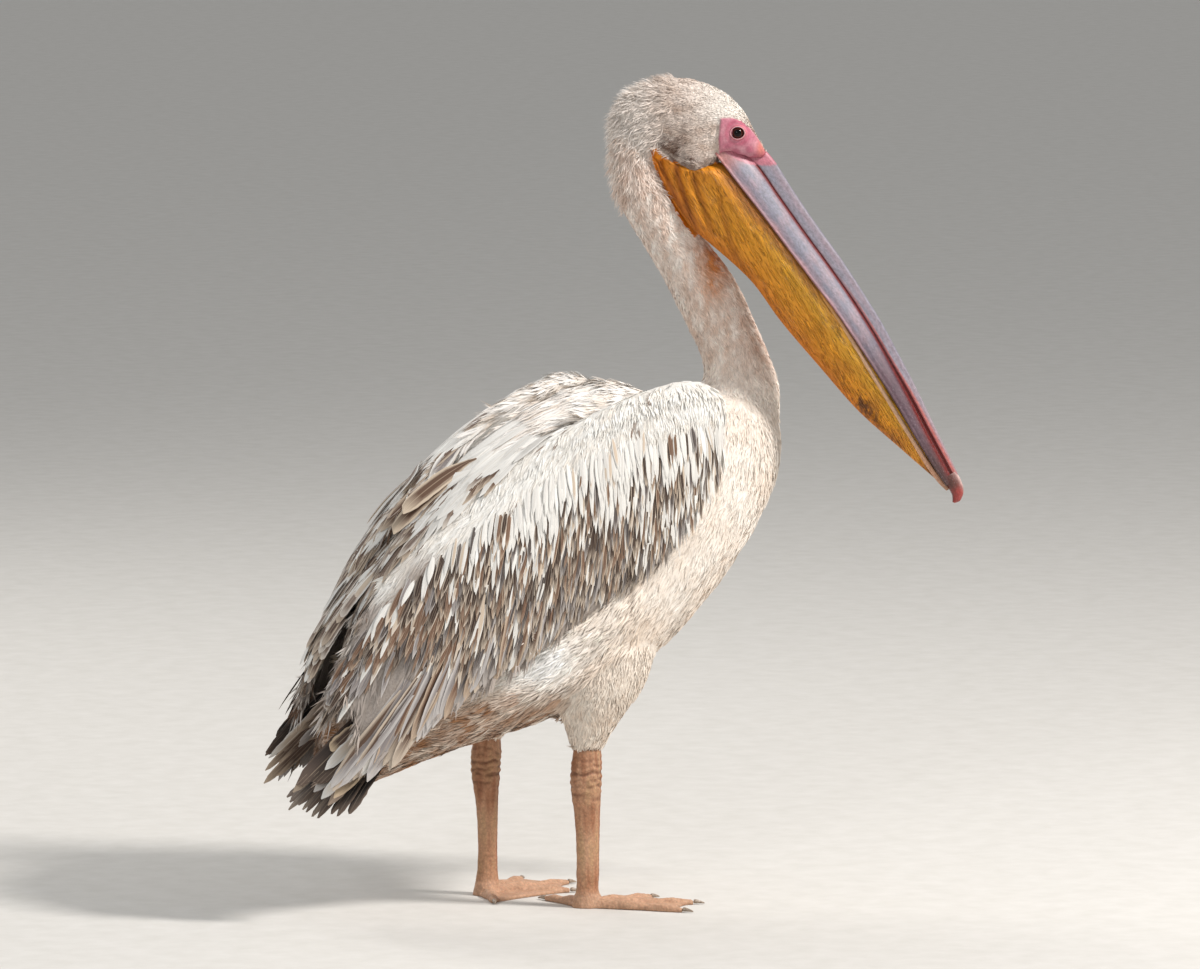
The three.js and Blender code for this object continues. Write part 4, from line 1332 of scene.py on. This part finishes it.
def sheet(name, grid, colours, ends=True, **maps):
    """A mesh over a grid of points in the bird's frame, its last column lying on its first."""
    rows, columns = grid.shape[:2]
    number = np.arange(rows * columns).reshape(rows, columns)
    quads = np.stack([number[:-1, :-1], number[1:, :-1], number[1:, 1:], number[:-1, 1:]], -1).reshape(-1, 4)
    faces = [quads]
    if ends:
        faces += [number[:1, :-1], number[-1:, :-1][:, ::-1]]
    flat = {key: value.reshape(-1, 2) for key, value in maps.items()}
    return mesh_piece(name, grid.reshape(-1, 3), faces, flat, {"plume": colours.reshape(-1, 3)})


upper_bill_table = smooth_table([
    # along the bill, edge height, ridge height, half-width of the edge, half-width of the ridge
    [-16, -30, 8, 19, 6], [20, -26, 17.8, 22.5, 6.5], [60, -21.5, 19, 22.5, 6], [108, -17, 21.2, 21, 5.5],
    [151, -13, 24.4, 20, 5], [195, -8.5, 25.6, 20, 5], [231, -7, 25.6, 20.5, 4.5], [270, -6, 23.3, 20.5, 4.2],
    [309, -5.5, 20.5, 20.5, 4], [353, -6.5, 16, 18, 4], [394, -6.5, 12, 12.5, 4], [412, -6, 10, 9.5, 4],
])


def upper_bill():
    """The upper half of the bill, with its ridge and the groove on each side of it."""
    along = np.linspace(-16, 412, 190)
    edge, ridge, half, top = upper_bill_table(along).T
    groove = edge + 0.62 * (ridge - edge)
    deep = 1.0 + 1.0 * ease(120, 320, along)
    wide = 1.1 + 1.5 * ease(160, 380, along)
    section = both_sides([
        (0 * along, edge + 2.2), (half * 0.72, edge + 1.6), (half * 0.93, edge - 0.3),
        (half + 0.5, edge + 0.9), (half * 0.985, edge + 2.6), (half * 0.9 + 0.4, edge + 0.42 * (groove - edge)),
        (half * 0.66, edge + 0.8 * (groove - edge)), (top + 3.4, groove - wide), (top + 2.3 - deep, groove),
        (top + 1.9, groove + wide), (top + 0.3, groove + 0.62 * (ridge - groove)), (top * 0.72, ridge - 0.6),
        (0 * along, ridge + 0.5),
    ], np.cumsum([0, 1, 0.5, 0.35, 0.4, 0.9, 0.9, 0.6, 0.45, 0.45, 0.8, 0.6, 0.6]), 46)
    a = np.broadcast_to(along[:, None], section.shape[:2])
    y, z = section[..., 0], section[..., 1]
    gap = z - groove[:, None]
    rise_share = (z - edge[:, None]) / (ridge - edge)[:, None]
    waves = wavy(np.stack([a, y, z], -1) * [0.25, 1, 1], 8, 80)
    section = section + np.stack([0.12 * np.sign(y) * waves, 0 * z], -1)
    far_end = ease(250, 360, a)
    feather_line = np.interp(z, [-24, -14, -3.8, 11.4, 18], [-18, 3, 16, 27, 30])
    colours = blended(
        (132, 130, 144),
        ((168, 138, 144), 0.22 + 0.36 * waves),
        ((190, 130, 132), 0.7 * bell(rise_share, 0.0, 0.09)),
        ((136, 134, 146), 0.7 * ease(0.5, 3.0, gap)),
        ((168, 132, 136), 0.3 * bell(rise_share, 0.90, 0.07) * (1 - far_end)),
        ((86, 58, 68), 0.92 * ease(190, 300, a) * (gap < 0)),
        ((70, 42, 38), 0.9 * ease(340, 400, a) * (gap < 3)),
        # painted highlight: paler along the crest of the ridge in the far half
        ((186, 158, 160), 0.4 * far_end * bell(rise_share, 1.0, 0.12)),
        ((196, 78, 52), 0.75 * bell(gap, 2.3 + 2.0 * far_end, 0.9 + 1.2 * far_end) * ease(140, 230, a)),
        ((112, 26, 20), 1.4 * bell(gap, -0.4, 1.5 + 2.2 * far_end)),
        ((198, 118, 104), 0.6 * ease(16, -4, a) * (gap < 4)),
        ((190, 114, 128), ease(1.0, -1.0, a - feather_line)),
    )
    girth = girth_of(section)
    grid = bill_to_bird(np.concatenate([a[..., None], section], -1))
    return sheet("upper_bill", grid, colours, OFBake=np.stack([0.02 + a / 900, 0.3 + girth / 900], -1),
                 bill=np.stack([a, girth], -1))


def bill_nail():
    """The hooked nail at the bill's tip."""
    table = smooth_table([
        # share of the hook, along, height, half-width, half-height, tilt
        [0, 404, 1.6, 9.7, 7.8, 0], [0.3, 414, 1.8, 8.9, 7.6, 6], [0.55, 422, 0.8, 7.4, 6.6, 20],
        [0.78, 428, -2.2, 5.4, 5.0, 38], [0.93, 431, -6, 3.2, 3.2, 54], [1, 431.6, -8.8, 1.1, 1.1, 64],
    ])
    share = np.linspace(0, 1, 40)[:, None]
    along, height, half, thick, tilt = table(share[:, 0]).T
    angle = np.linspace(-np.pi, np.pi, 37)
    up = np.stack([np.sin(np.radians(tilt)), 0 * tilt, np.cos(np.radians(tilt))], 1)
    c, s = np.cos(angle), np.sin(angle)
    ridged = 1 + 0.14 * np.clip(c, 0, 1) ** 8
    centre = np.stack([along, 0 * along, height], 1)
    out = (half[:, None] * s)[..., None] * np.array([0, 1, 0])
    lifted = (thick[:, None] * (c * ridged))[..., None] * up[:, None]
    crown = np.clip(c, 0, 1) ** 6 * ease(0.75, 0.3, share)
    colours = blended(
        (160, 52, 44),
        ((92, 54, 46), 0.95 * ease(0.66, 0.30, share) * (1 - crown)),
        ((226, 206, 198), 0.85 * crown),
        ((92, 34, 30), 0.7 * ease(0.2, 1, -c)),
    )
    bake = np.stack(np.broadcast_arrays(0.6 + share * 0.03, 0.3 + angle / 100), -1)
    metric = np.stack(np.broadcast_arrays(share * 30, angle * 7), -1)
    return sheet("bill_nail", bill_to_bird(centre[:, None] + out + lifted), colours, OFBake=bake, bill=metric)


def lower_bill():
    """The two thin bones that edge the pouch, as one piece."""
    table = smooth_table([
        # along the bill, out from the middle, height, half-width, half-height
        [24, 16.5, -28, 1.4, 2], [50, 16.5, -25, 3.0, 3.6], [75, 16.4, -22.6, 3.2, 3.6],
        [150, 15.2, -15, 3.2, 3.4], [195, 15.8, -11.6, 3.2, 3.0], [280, 16.4, -10.4, 3, 2.5],
        [345, 13, -10.6, 2.8, 2.4], [390, 7.6, -10, 2.6, 2.8], [408, 3.4, -8.2, 2.8, 2.8], [417, 1.6, -6.4, 2.0, 2.2],
    ])
    along = np.linspace(24, 417, 130)
    out, height, half, thick = table(along).T
    turn = np.linspace(0, 2 * np.pi, 19)
    both = []
    for side in (-1, 1):
        y = (out * side)[:, None] + half[:, None] * np.sin(turn) * side
        z = height[:, None] - thick[:, None] * np.cos(turn)
        a, angle = np.broadcast_arrays(along[:, None], turn)
        grid = bill_to_bird(np.stack([a, y, z], -1))
        if side > 0:
            grid = grid[:, ::-1]
        colours = blended(
            (216, 172, 136),
            ((206, 140, 44), ease(260, 150, a)),
            ((196, 120, 90), 0.4 * ease(330, 400, a)),
            ((110, 70, 50), 0.5 * ease(395, 416, a)),
        )
        bake = np.stack([0.02 + a / 900, 0.9 + side * 0.04 + angle / 300], -1)
        both.append(sheet("lower_bill", grid, colours, OFBake=bake, bill=np.stack([a, 3 * angle], -1)))
    return joined(both)


POUCH_FOLDS = [
    # depth, width, then places (along the bill, height) on each crease of the pouch
    (2.6, 3.2, [(-48, -76), (-34, -83), (-6, -88), (16, -90), (30, -91)]),
    (3.4, 3.8, [(-30, -66), (-20, -72), (4, -79), (30, -85), (50, -89)]),
    (2.4, 3.6, [(-12, -56), (2, -64), (26, -69), (57, -75)]),
    (1.6, 3.2, [(20, -46), (46, -56), (84, -66), (110, -67)]),
    (-2.2, 4.5, [(-24, -62), (-4, -71), (26, -77), (50, -82)]),
]


def pouch():
    """The bag of bare skin that hangs below the bill, with its creases."""
    table = smooth_table([
        # along the bill, top height, lowest height, half-width at the top, below it and near the bottom
        [-57, -82, -85, 20, 24, 24], [-42, -76, -88, 17, 25, 23], [-29, -67, -91, 12, 25, 20],
        [-14, -52, -94, 9, 25, 18], [-4, -34, -94.5, 11, 25, 16], [6, -28.5, -94.2, 17, 24.5, 14.5],
        [16, -26.5, -93.8, 19.5, 24.5, 13.5], [40, -24.5, -91.5, 21, 24.5, 12],
        [67, -22, -83, 21.5, 24, 10.5], [92, -19.5, -75, 20.5, 22, 9.5], [119, -17, -68, 19.5, 20.5, 8.5],
        [172, -11.5, -63.4, 18.4, 19, 7.5], [236, -8, -53.6, 18, 18.5, 6.5], [298, -6.5, -43, 16.6, 17, 5.5],
        [352, -7, -27, 11.8, 12, 4.5], [402, -7.5, -11.5, 4.9, 5, 2.5],
    ])
    along = np.linspace(-57, 402, 330)
    top, low, tucked, wide, narrow = table(along).T
    section = both_sides([(y, top + (low - top) * down) for y, down in (
        (0 * along, 0), (tucked, 0.01), (wide, 0.19), (wide * 0.65 + narrow * 0.35, 0.45),
        (wide * 0.22 + narrow * 0.78, 0.75), (narrow, 0.93), (narrow * 0.42, 1.0), (0 * along, 1.004),
    )], np.array([0, 0.25, 0.38, 0.58, 0.78, 0.91, 0.97, 1.0]), 52)
    a = np.broadcast_to(along[:, None], section.shape[:2])
    y, z = section[..., 0], section[..., 1]
    here = np.stack([a, z], -1).reshape(-1, 2)
    sideways = np.clip(np.abs(y) / 8, 0, 1)
    inward = np.zeros(a.shape)
    for depth, width, line in POUCH_FOLDS:
        fold = smooth_table(np.column_stack([np.linspace(0, 1, len(line)), line]))(np.linspace(0, 1, 40))
        gap = np.linalg.norm(here[:, None] - fold[None], axis=2)
        open_ends = np.sin(np.pi * np.clip(gap.argmin(1) / 39 * 0.86 + 0.1, 0, 1)) ** 0.5
        inward += (depth * open_ends * np.exp(-((gap.min(1) / width) ** 2))).reshape(a.shape)
    flat = np.stack([a, y, z], -1)
    ripples = 0.45 * wavy(flat * [0.22, 1, 1], 9, 81) + 0.34 * wavy(flat * [0.24, 1, 1], 4.6, 82)
    calm = ease(402, 330, a) * ease(0.0, 5.0, top[:, None] - z + 1)
    y = y - np.sign(y) * sideways * (inward + ripples * calm)
    grid = bill_to_bird(np.stack([a, y, z], -1))
    share = (top[:, None] - z) / (top - low)[:, None]
    rough, small = wavy(flat * [0.5, 1, 1], 20, 83), wavy(flat, 7, 84)
    brown_smudges = bell(a, 292, 34) * bell(share, 0.78, 0.2) * ease(0.0, 0.9, small + rough)
    colours = blended(
        (242, 160, 34),
        ((236, 176, 46), 0.8 * ease(20, 150, a) * ease(0.62, 0.2, share)),
        ((206, 112, 20), 0.75 * ease(0.6, 1.0, share)),
        ((222, 120, 18), 0.5 * ease(30, -50, a)),
        ((226, 160, 60), 0.5 * ease(300, 390, a)),
        ((160, 84, 24), 0.30 * np.clip(rough, 0, 1) * ease(120, 330, a)),
        # painted shade: darker in the creases, as deep as each fold
        ((150, 76, 14), 0.75 * np.clip(inward / 2.6, 0, 1)),
        # painted shadow of the bill's edge and lower bill: dark along the pouch's top
        ((124, 66, 14), 0.8 * ease(0.22 + 0.05 * np.clip(rough, -1, 1), 0.06, share)
         * ease(-10, 20, a) * ease(290, 140, a)),
        ((84, 52, 34), 0.85 * brown_smudges),
        ((110, 66, 34), 0.6 * bell(a, 330, 40) * bell(share, 0.9, 0.16) * np.clip(0.3 + small, 0, 1)),
        ((96, 60, 46), 0.7 * ease(372, 400, a)),
    )
    bake = np.stack([0.02 + (a + 60) / 900, 0.5 + girth_of(section) / 900], -1)
    return sheet("pouch", grid, colours, OFBake=bake, bill=np.stack([a, z + 0.35 * y], -1))


def horn_finish():
    finish = Finish("bill_horn", 0.42, Specular_IOR_Level=0.5, Coat_Weight=0.15, Coat_Roughness=0.3)
    mottle = finish.noise(finish.place("bill", (0.22, 0.34, 1)), 4.0, 0.65)
    streaks = finish.noise(finish.place("bill", (0.10, 1.5, 1)), 3.0)
    flecks = finish.noise(finish.place("bill", (0.5, 1.1, 1)), 4.0, 0.7)
    base = finish.shaded(finish.painted(), mottle, (0.34, 0.68), (0.66, 1.12))
    base = finish.shaded(base, streaks, (0.3, 0.78), (0.6, 1.0))
    finish.colour(finish.mix(finish.ramp(flecks, (0.58, 0.0), (0.74, 0.38)), base, (226, 220, 228)))
    rough = finish.node("ShaderNodeMapRange", Value=mottle, To_Min=0.34, To_Max=0.58)
    finish.put(rough.outputs[0], finish.shader.inputs["Roughness"])
    finish.bump(streaks, 0.4, 0.0007)
    finish.bump(flecks, 0.3, 0.0005)
    return finish.material


def pouch_finish():
    finish = Finish("pouch_skin", 0.5, Specular_IOR_Level=0.42, Subsurface_Weight=0.06,
                    Subsurface_Scale=0.004)
    wave = finish.noise(finish.place("bill", (0.03, 0.05, 1)), 2.0)
    bent = finish.mix(0.92, finish.place("bill", (0.055, 0.66, 1), (0, 0, 0.03)), wave, "ADD")
    wrinkles = finish.noise(bent, 3.0, 0.55, 0.6)
    valleys = finish.maths("ABSOLUTE", finish.maths("SUBTRACT", wrinkles, 0.5))
    base = finish.shaded(finish.painted(), wrinkles, (0.3, 0.76), (0.68, 1.08))
    # painted shade: dark lines along the bottoms of the wrinkles
    finish.colour(finish.mix(finish.ramp(valleys, (0.0, 0.34), (0.045, 0.0)), base, (128, 58, 8)))
    finish.bump(finish.ramp(valleys, (0.0, 0.0), (0.09, 1.0)), 0.6, 0.0012)
    finish.bump(wrinkles, 0.9, 0.0040)
    finish.bump(finish.noise(finish.place("bill", (0.8, 1.1, 1)), 3.0), 0.35, 0.0005)
    return finish.material


HORN = horn_finish()
dress(upper_bill(), HORN, "bill_horn", "upper_bill")
dress(bill_nail(), HORN, "bill_nail", "bill_nail")
dress(lower_bill(), HORN, "bill_horn", "lower_bill")
dress(pouch(), pouch_finish(), "pouch_skin", "pouch")


def eyeball(side):
    """A glossy eye with a dark pupil, a dark red-brown iris and a narrow pale margin."""
    rings = np.radians(np.concatenate([np.linspace(0, 60, 31), np.linspace(66, 180, 20)]))
    polar, turn = np.meshgrid(rings, np.linspace(0, 2 * np.pi, 49), indexing="ij")
    reach = (EYE_RADIUS - 0.25) * (1 + 0.10 * ease(46, 8, np.degrees(polar)))
    ring, out = reach * np.sin(polar), reach * np.cos(polar) * side
    local = EYE_AT * [1, side, 1] + np.stack([ring * np.cos(turn), out, ring * np.sin(turn)], -1)
    if side > 0:
        local = local[:, ::-1]
    off = EYE_RADIUS * np.sin(np.minimum(polar, np.pi / 2))
    colours = blended(
        (205, 190, 180),
        ((52, 20, 15), ease(6.7, 6.2, off)),
        ((74, 30, 20), 0.6 * bell(off, 5.0, 0.9)),
        ((3, 2, 2), ease(3.9, 3.5, off)),
    )
    bake = np.stack([0.9 + off / 900, turn / 200], -1)
    return sheet(f"eye_{side_name(side)}", head_to_bird(local), colours, ends=False, OFBake=bake)


def eyelids(side):
    """The swollen rim of the lids, which lies on the eyeball and runs out into the bare skin."""
    # distance from the middle of the eye, height above the eyeball's middle
    profile = np.array([
        [5.8, 4.4], [6.2, 5.8], [6.55, 6.35], [6.95, 6.5], [7.5, 6.2], [8.2, 5.2], [9.1, 3.4], [9.8, -1.5],
    ])
    away, over = smooth_path(profile[None], np.linspace(0, 1, len(profile)), np.linspace(0, 1, 22))[0].T
    turn = np.linspace(0, 2 * np.pi, 97)[:, None]
    off = away * (1 + 0.05 * np.cos(2 * turn) + 0.05 * bell(turn % (2 * np.pi), np.pi, 0.35)
                  + 0.04 * bell((turn + np.pi) % (2 * np.pi), np.pi, 0.3))
    height = over + 0.25 * np.cos(turn - np.pi / 2)
    height = height + 0.10 * np.sin(9 * turn + 2 * away) * bell(away, 7.6, 1.0)
    local = EYE_AT * [1, side, 1] + np.stack([off * np.cos(turn), height * side, off * np.sin(turn)], -1)
    colours = blended(
        np.tile(linear(205, 118, 132), (*off.shape, 1)),
        ((222, 184, 182), 0.9 * bell(away, 6.95, 0.4)),
        ((44, 24, 24), ease(6.5, 6.15, away)),
        ((160, 74, 92), 0.6 * bell(away, 7.9, 0.4)),
    )
    if side < 0:
        local, colours = local[:, ::-1], colours[:, ::-1]
    bake = np.stack(np.broadcast_arrays(0.8 + away / 900, turn / 200), -1)
    return sheet(f"eyelids_{side_name(side)}", head_to_bird(local), colours, ends=False, OFBake=bake)


def eye_finish():
    finish = Finish("eye", 0.15, Specular_IOR_Level=0.05, Coat_Weight=0.36, Coat_Roughness=0.03)
    finish.colour(finish.painted())
    return finish.material


EYE = eye_finish()
FACE = grained("face_skin", 0.52, 520.0, (0.3, 0.85), (0.7, 1.05), bump=(0.4, 0.0006), Specular_IOR_Level=0.4,
               Subsurface_Weight=0.08, Subsurface_Scale=0.003)
for side in (-1, 1):
    dress(eyeball(side), EYE, "eye", f"eye_{side_name(side)}")
    dress(eyelids(side), FACE, "plumage")


# ------------------------------------------------------------------ legs, feet and claws
def ankle_of(side):
    """Where a leg meets the ground, and which way its foot points."""
    return (np.array([14.0, -65.0, 0.0]), -25.0) if side < 0 else (np.array([-33.0, 65.0, 0.0]), 15.0)


def bare_leg(name, side):
    """Shank and webbed foot as one skin, wrinkled at the hock and scaled down the front."""
    leg = merged_copy(f"leg_{name}", f"shank_{name}", f"foot_{name}")
    with_modifier(leg, "REMESH", mode="VOXEL", voxel_size=LEG_VOXEL, use_smooth_shade=True)
    with_modifier(leg, "SMOOTH", factor=0.5, iterations=4)
    points = to_bird(points_of(leg.data))
    normals = normals_of(leg.data)
    ankle, heading = ankle_of(side)
    local = turned(points - ankle, -heading)
    height = points[:, 2]
    hock = bell(height, HOCK, 17)
    rings = np.sin(height / 1.15 + 1.6 * wavy(points * [1, 1, 0.4], 16, 90)) * hock * 0.45
    rings += np.sin(height / 2.1 + 2.2 * wavy(points, 22, 91)) * bell(height, HOCK - 8, 26) * 0.35
    shank = ease(16, 30, height) * ease(HOCK + 20, HOCK - 12, height)
    scutes = np.abs(np.sin(height * math.pi / 5.2)) ** 0.35 * shank * (normals @ [1, 0, 0] > 0.1) * 0.35
    toe = (height < 12) * (normals[:, 2] > 0.3)
    toe_rows = np.abs(np.sin(np.hypot(local[:, 0], local[:, 1]) * math.pi / 3.6)) ** 0.4 * toe * 0.22
    lift = rings + scutes + toe_rows + 0.12 * wavy(points, 5, 92)
    lift = lift * ease(1.0, 3.0, height)
    if side < 0:  # the near shank is the thicker one
        lift = lift + 1.7 * ease(14, 40, height) * ease(HOCK + 16, HOCK - 30, height)
    set_points(leg, to_row(points + normals * lift[:, None]))
    grain, patches = wavy(points, 9, 93), wavy(points, 30, 94)
    long_streaks = wavy(points * [1, 1, 0.12], 9, 95) * ease(10, 30, height)
    paint(leg.data, "plume", blended(
        (178, 128, 96),
        ((198, 154, 122), 0.5 + 0.5 * patches),
        ((148, 92, 60), 0.6 * np.clip(long_streaks, 0, 1)),
        ((186, 152, 112), 0.5 * np.clip(-long_streaks, 0, 1)),
        # darker in the grooves of the hock's wrinkles, a painted shade, and in random patches round the hock
        ((112, 70, 48), 0.7 * np.clip(-rings * 2.2, 0, 1) + 0.25 * hock * np.clip(grain, 0, 1)),
        ((206, 164, 134), 0.85 * ease(22, 8, height)),
        ((176, 132, 104), 0.45 * ease(14, 4, height) * np.clip(grain + 0.3, 0, 1)),
        ((150, 110, 84), 0.5 * bell(height, 26, 8) * np.clip(patches, 0, 1)),
    ))
    unwrap(leg)
    return leg


def leg_finish():
    finish = Finish("leg_skin", 0.62, Specular_IOR_Level=0.35, Subsurface_Weight=0.05, Subsurface_Scale=0.003)
    scales = finish.node("ShaderNodeTexVoronoi", Vector=finish.place(None, (1, 1, 0.8)), Scale=420.0)
    scales = scales.outputs["Distance"]
    grain = finish.noise(300.0, 4.0, 0.65)
    base = finish.shaded(finish.painted(), grain, (0.3, 0.74), (0.7, 1.08))
    finish.colour(finish.shaded(base, scales, (0.35, 1.0), (0.75, 0.84)))
    finish.bump(finish.ramp(scales, (0.2, 1.0), (0.8, 0.0)), 0.35, 0.0006)
    finish.bump(grain, 0.4, 0.0006)
    return finish.material


def claw_finish():
    finish = Finish("claw", 0.38, Specular_IOR_Level=0.5)
    streaks = finish.noise(500.0, 3.0)
    finish.colour(finish.ramp(streaks, (0.3, (112, 96, 84)), (0.7, (176, 158, 138))))
    finish.bump(streaks, 0.2, 0.0004)
    return finish.material


LEG, CLAW = leg_finish(), claw_finish()
for name, side in (("right", -1), ("left", 1)):
    dress(bare_leg(name, side), LEG, "leg_skin", f"shank_{name}", f"foot_{name}")
    for toe in range(1, 5):
        node = f"claw_{name}_{toe}"
        claw = merged_copy(f"{node}_horn", node)
        with_modifier(claw, "SUBSURF", levels=2, render_levels=2)
        unwrap(claw)
        only_select(claw)
        bpy.ops.object.shade_smooth()
        dress(claw, CLAW, "claw", node)
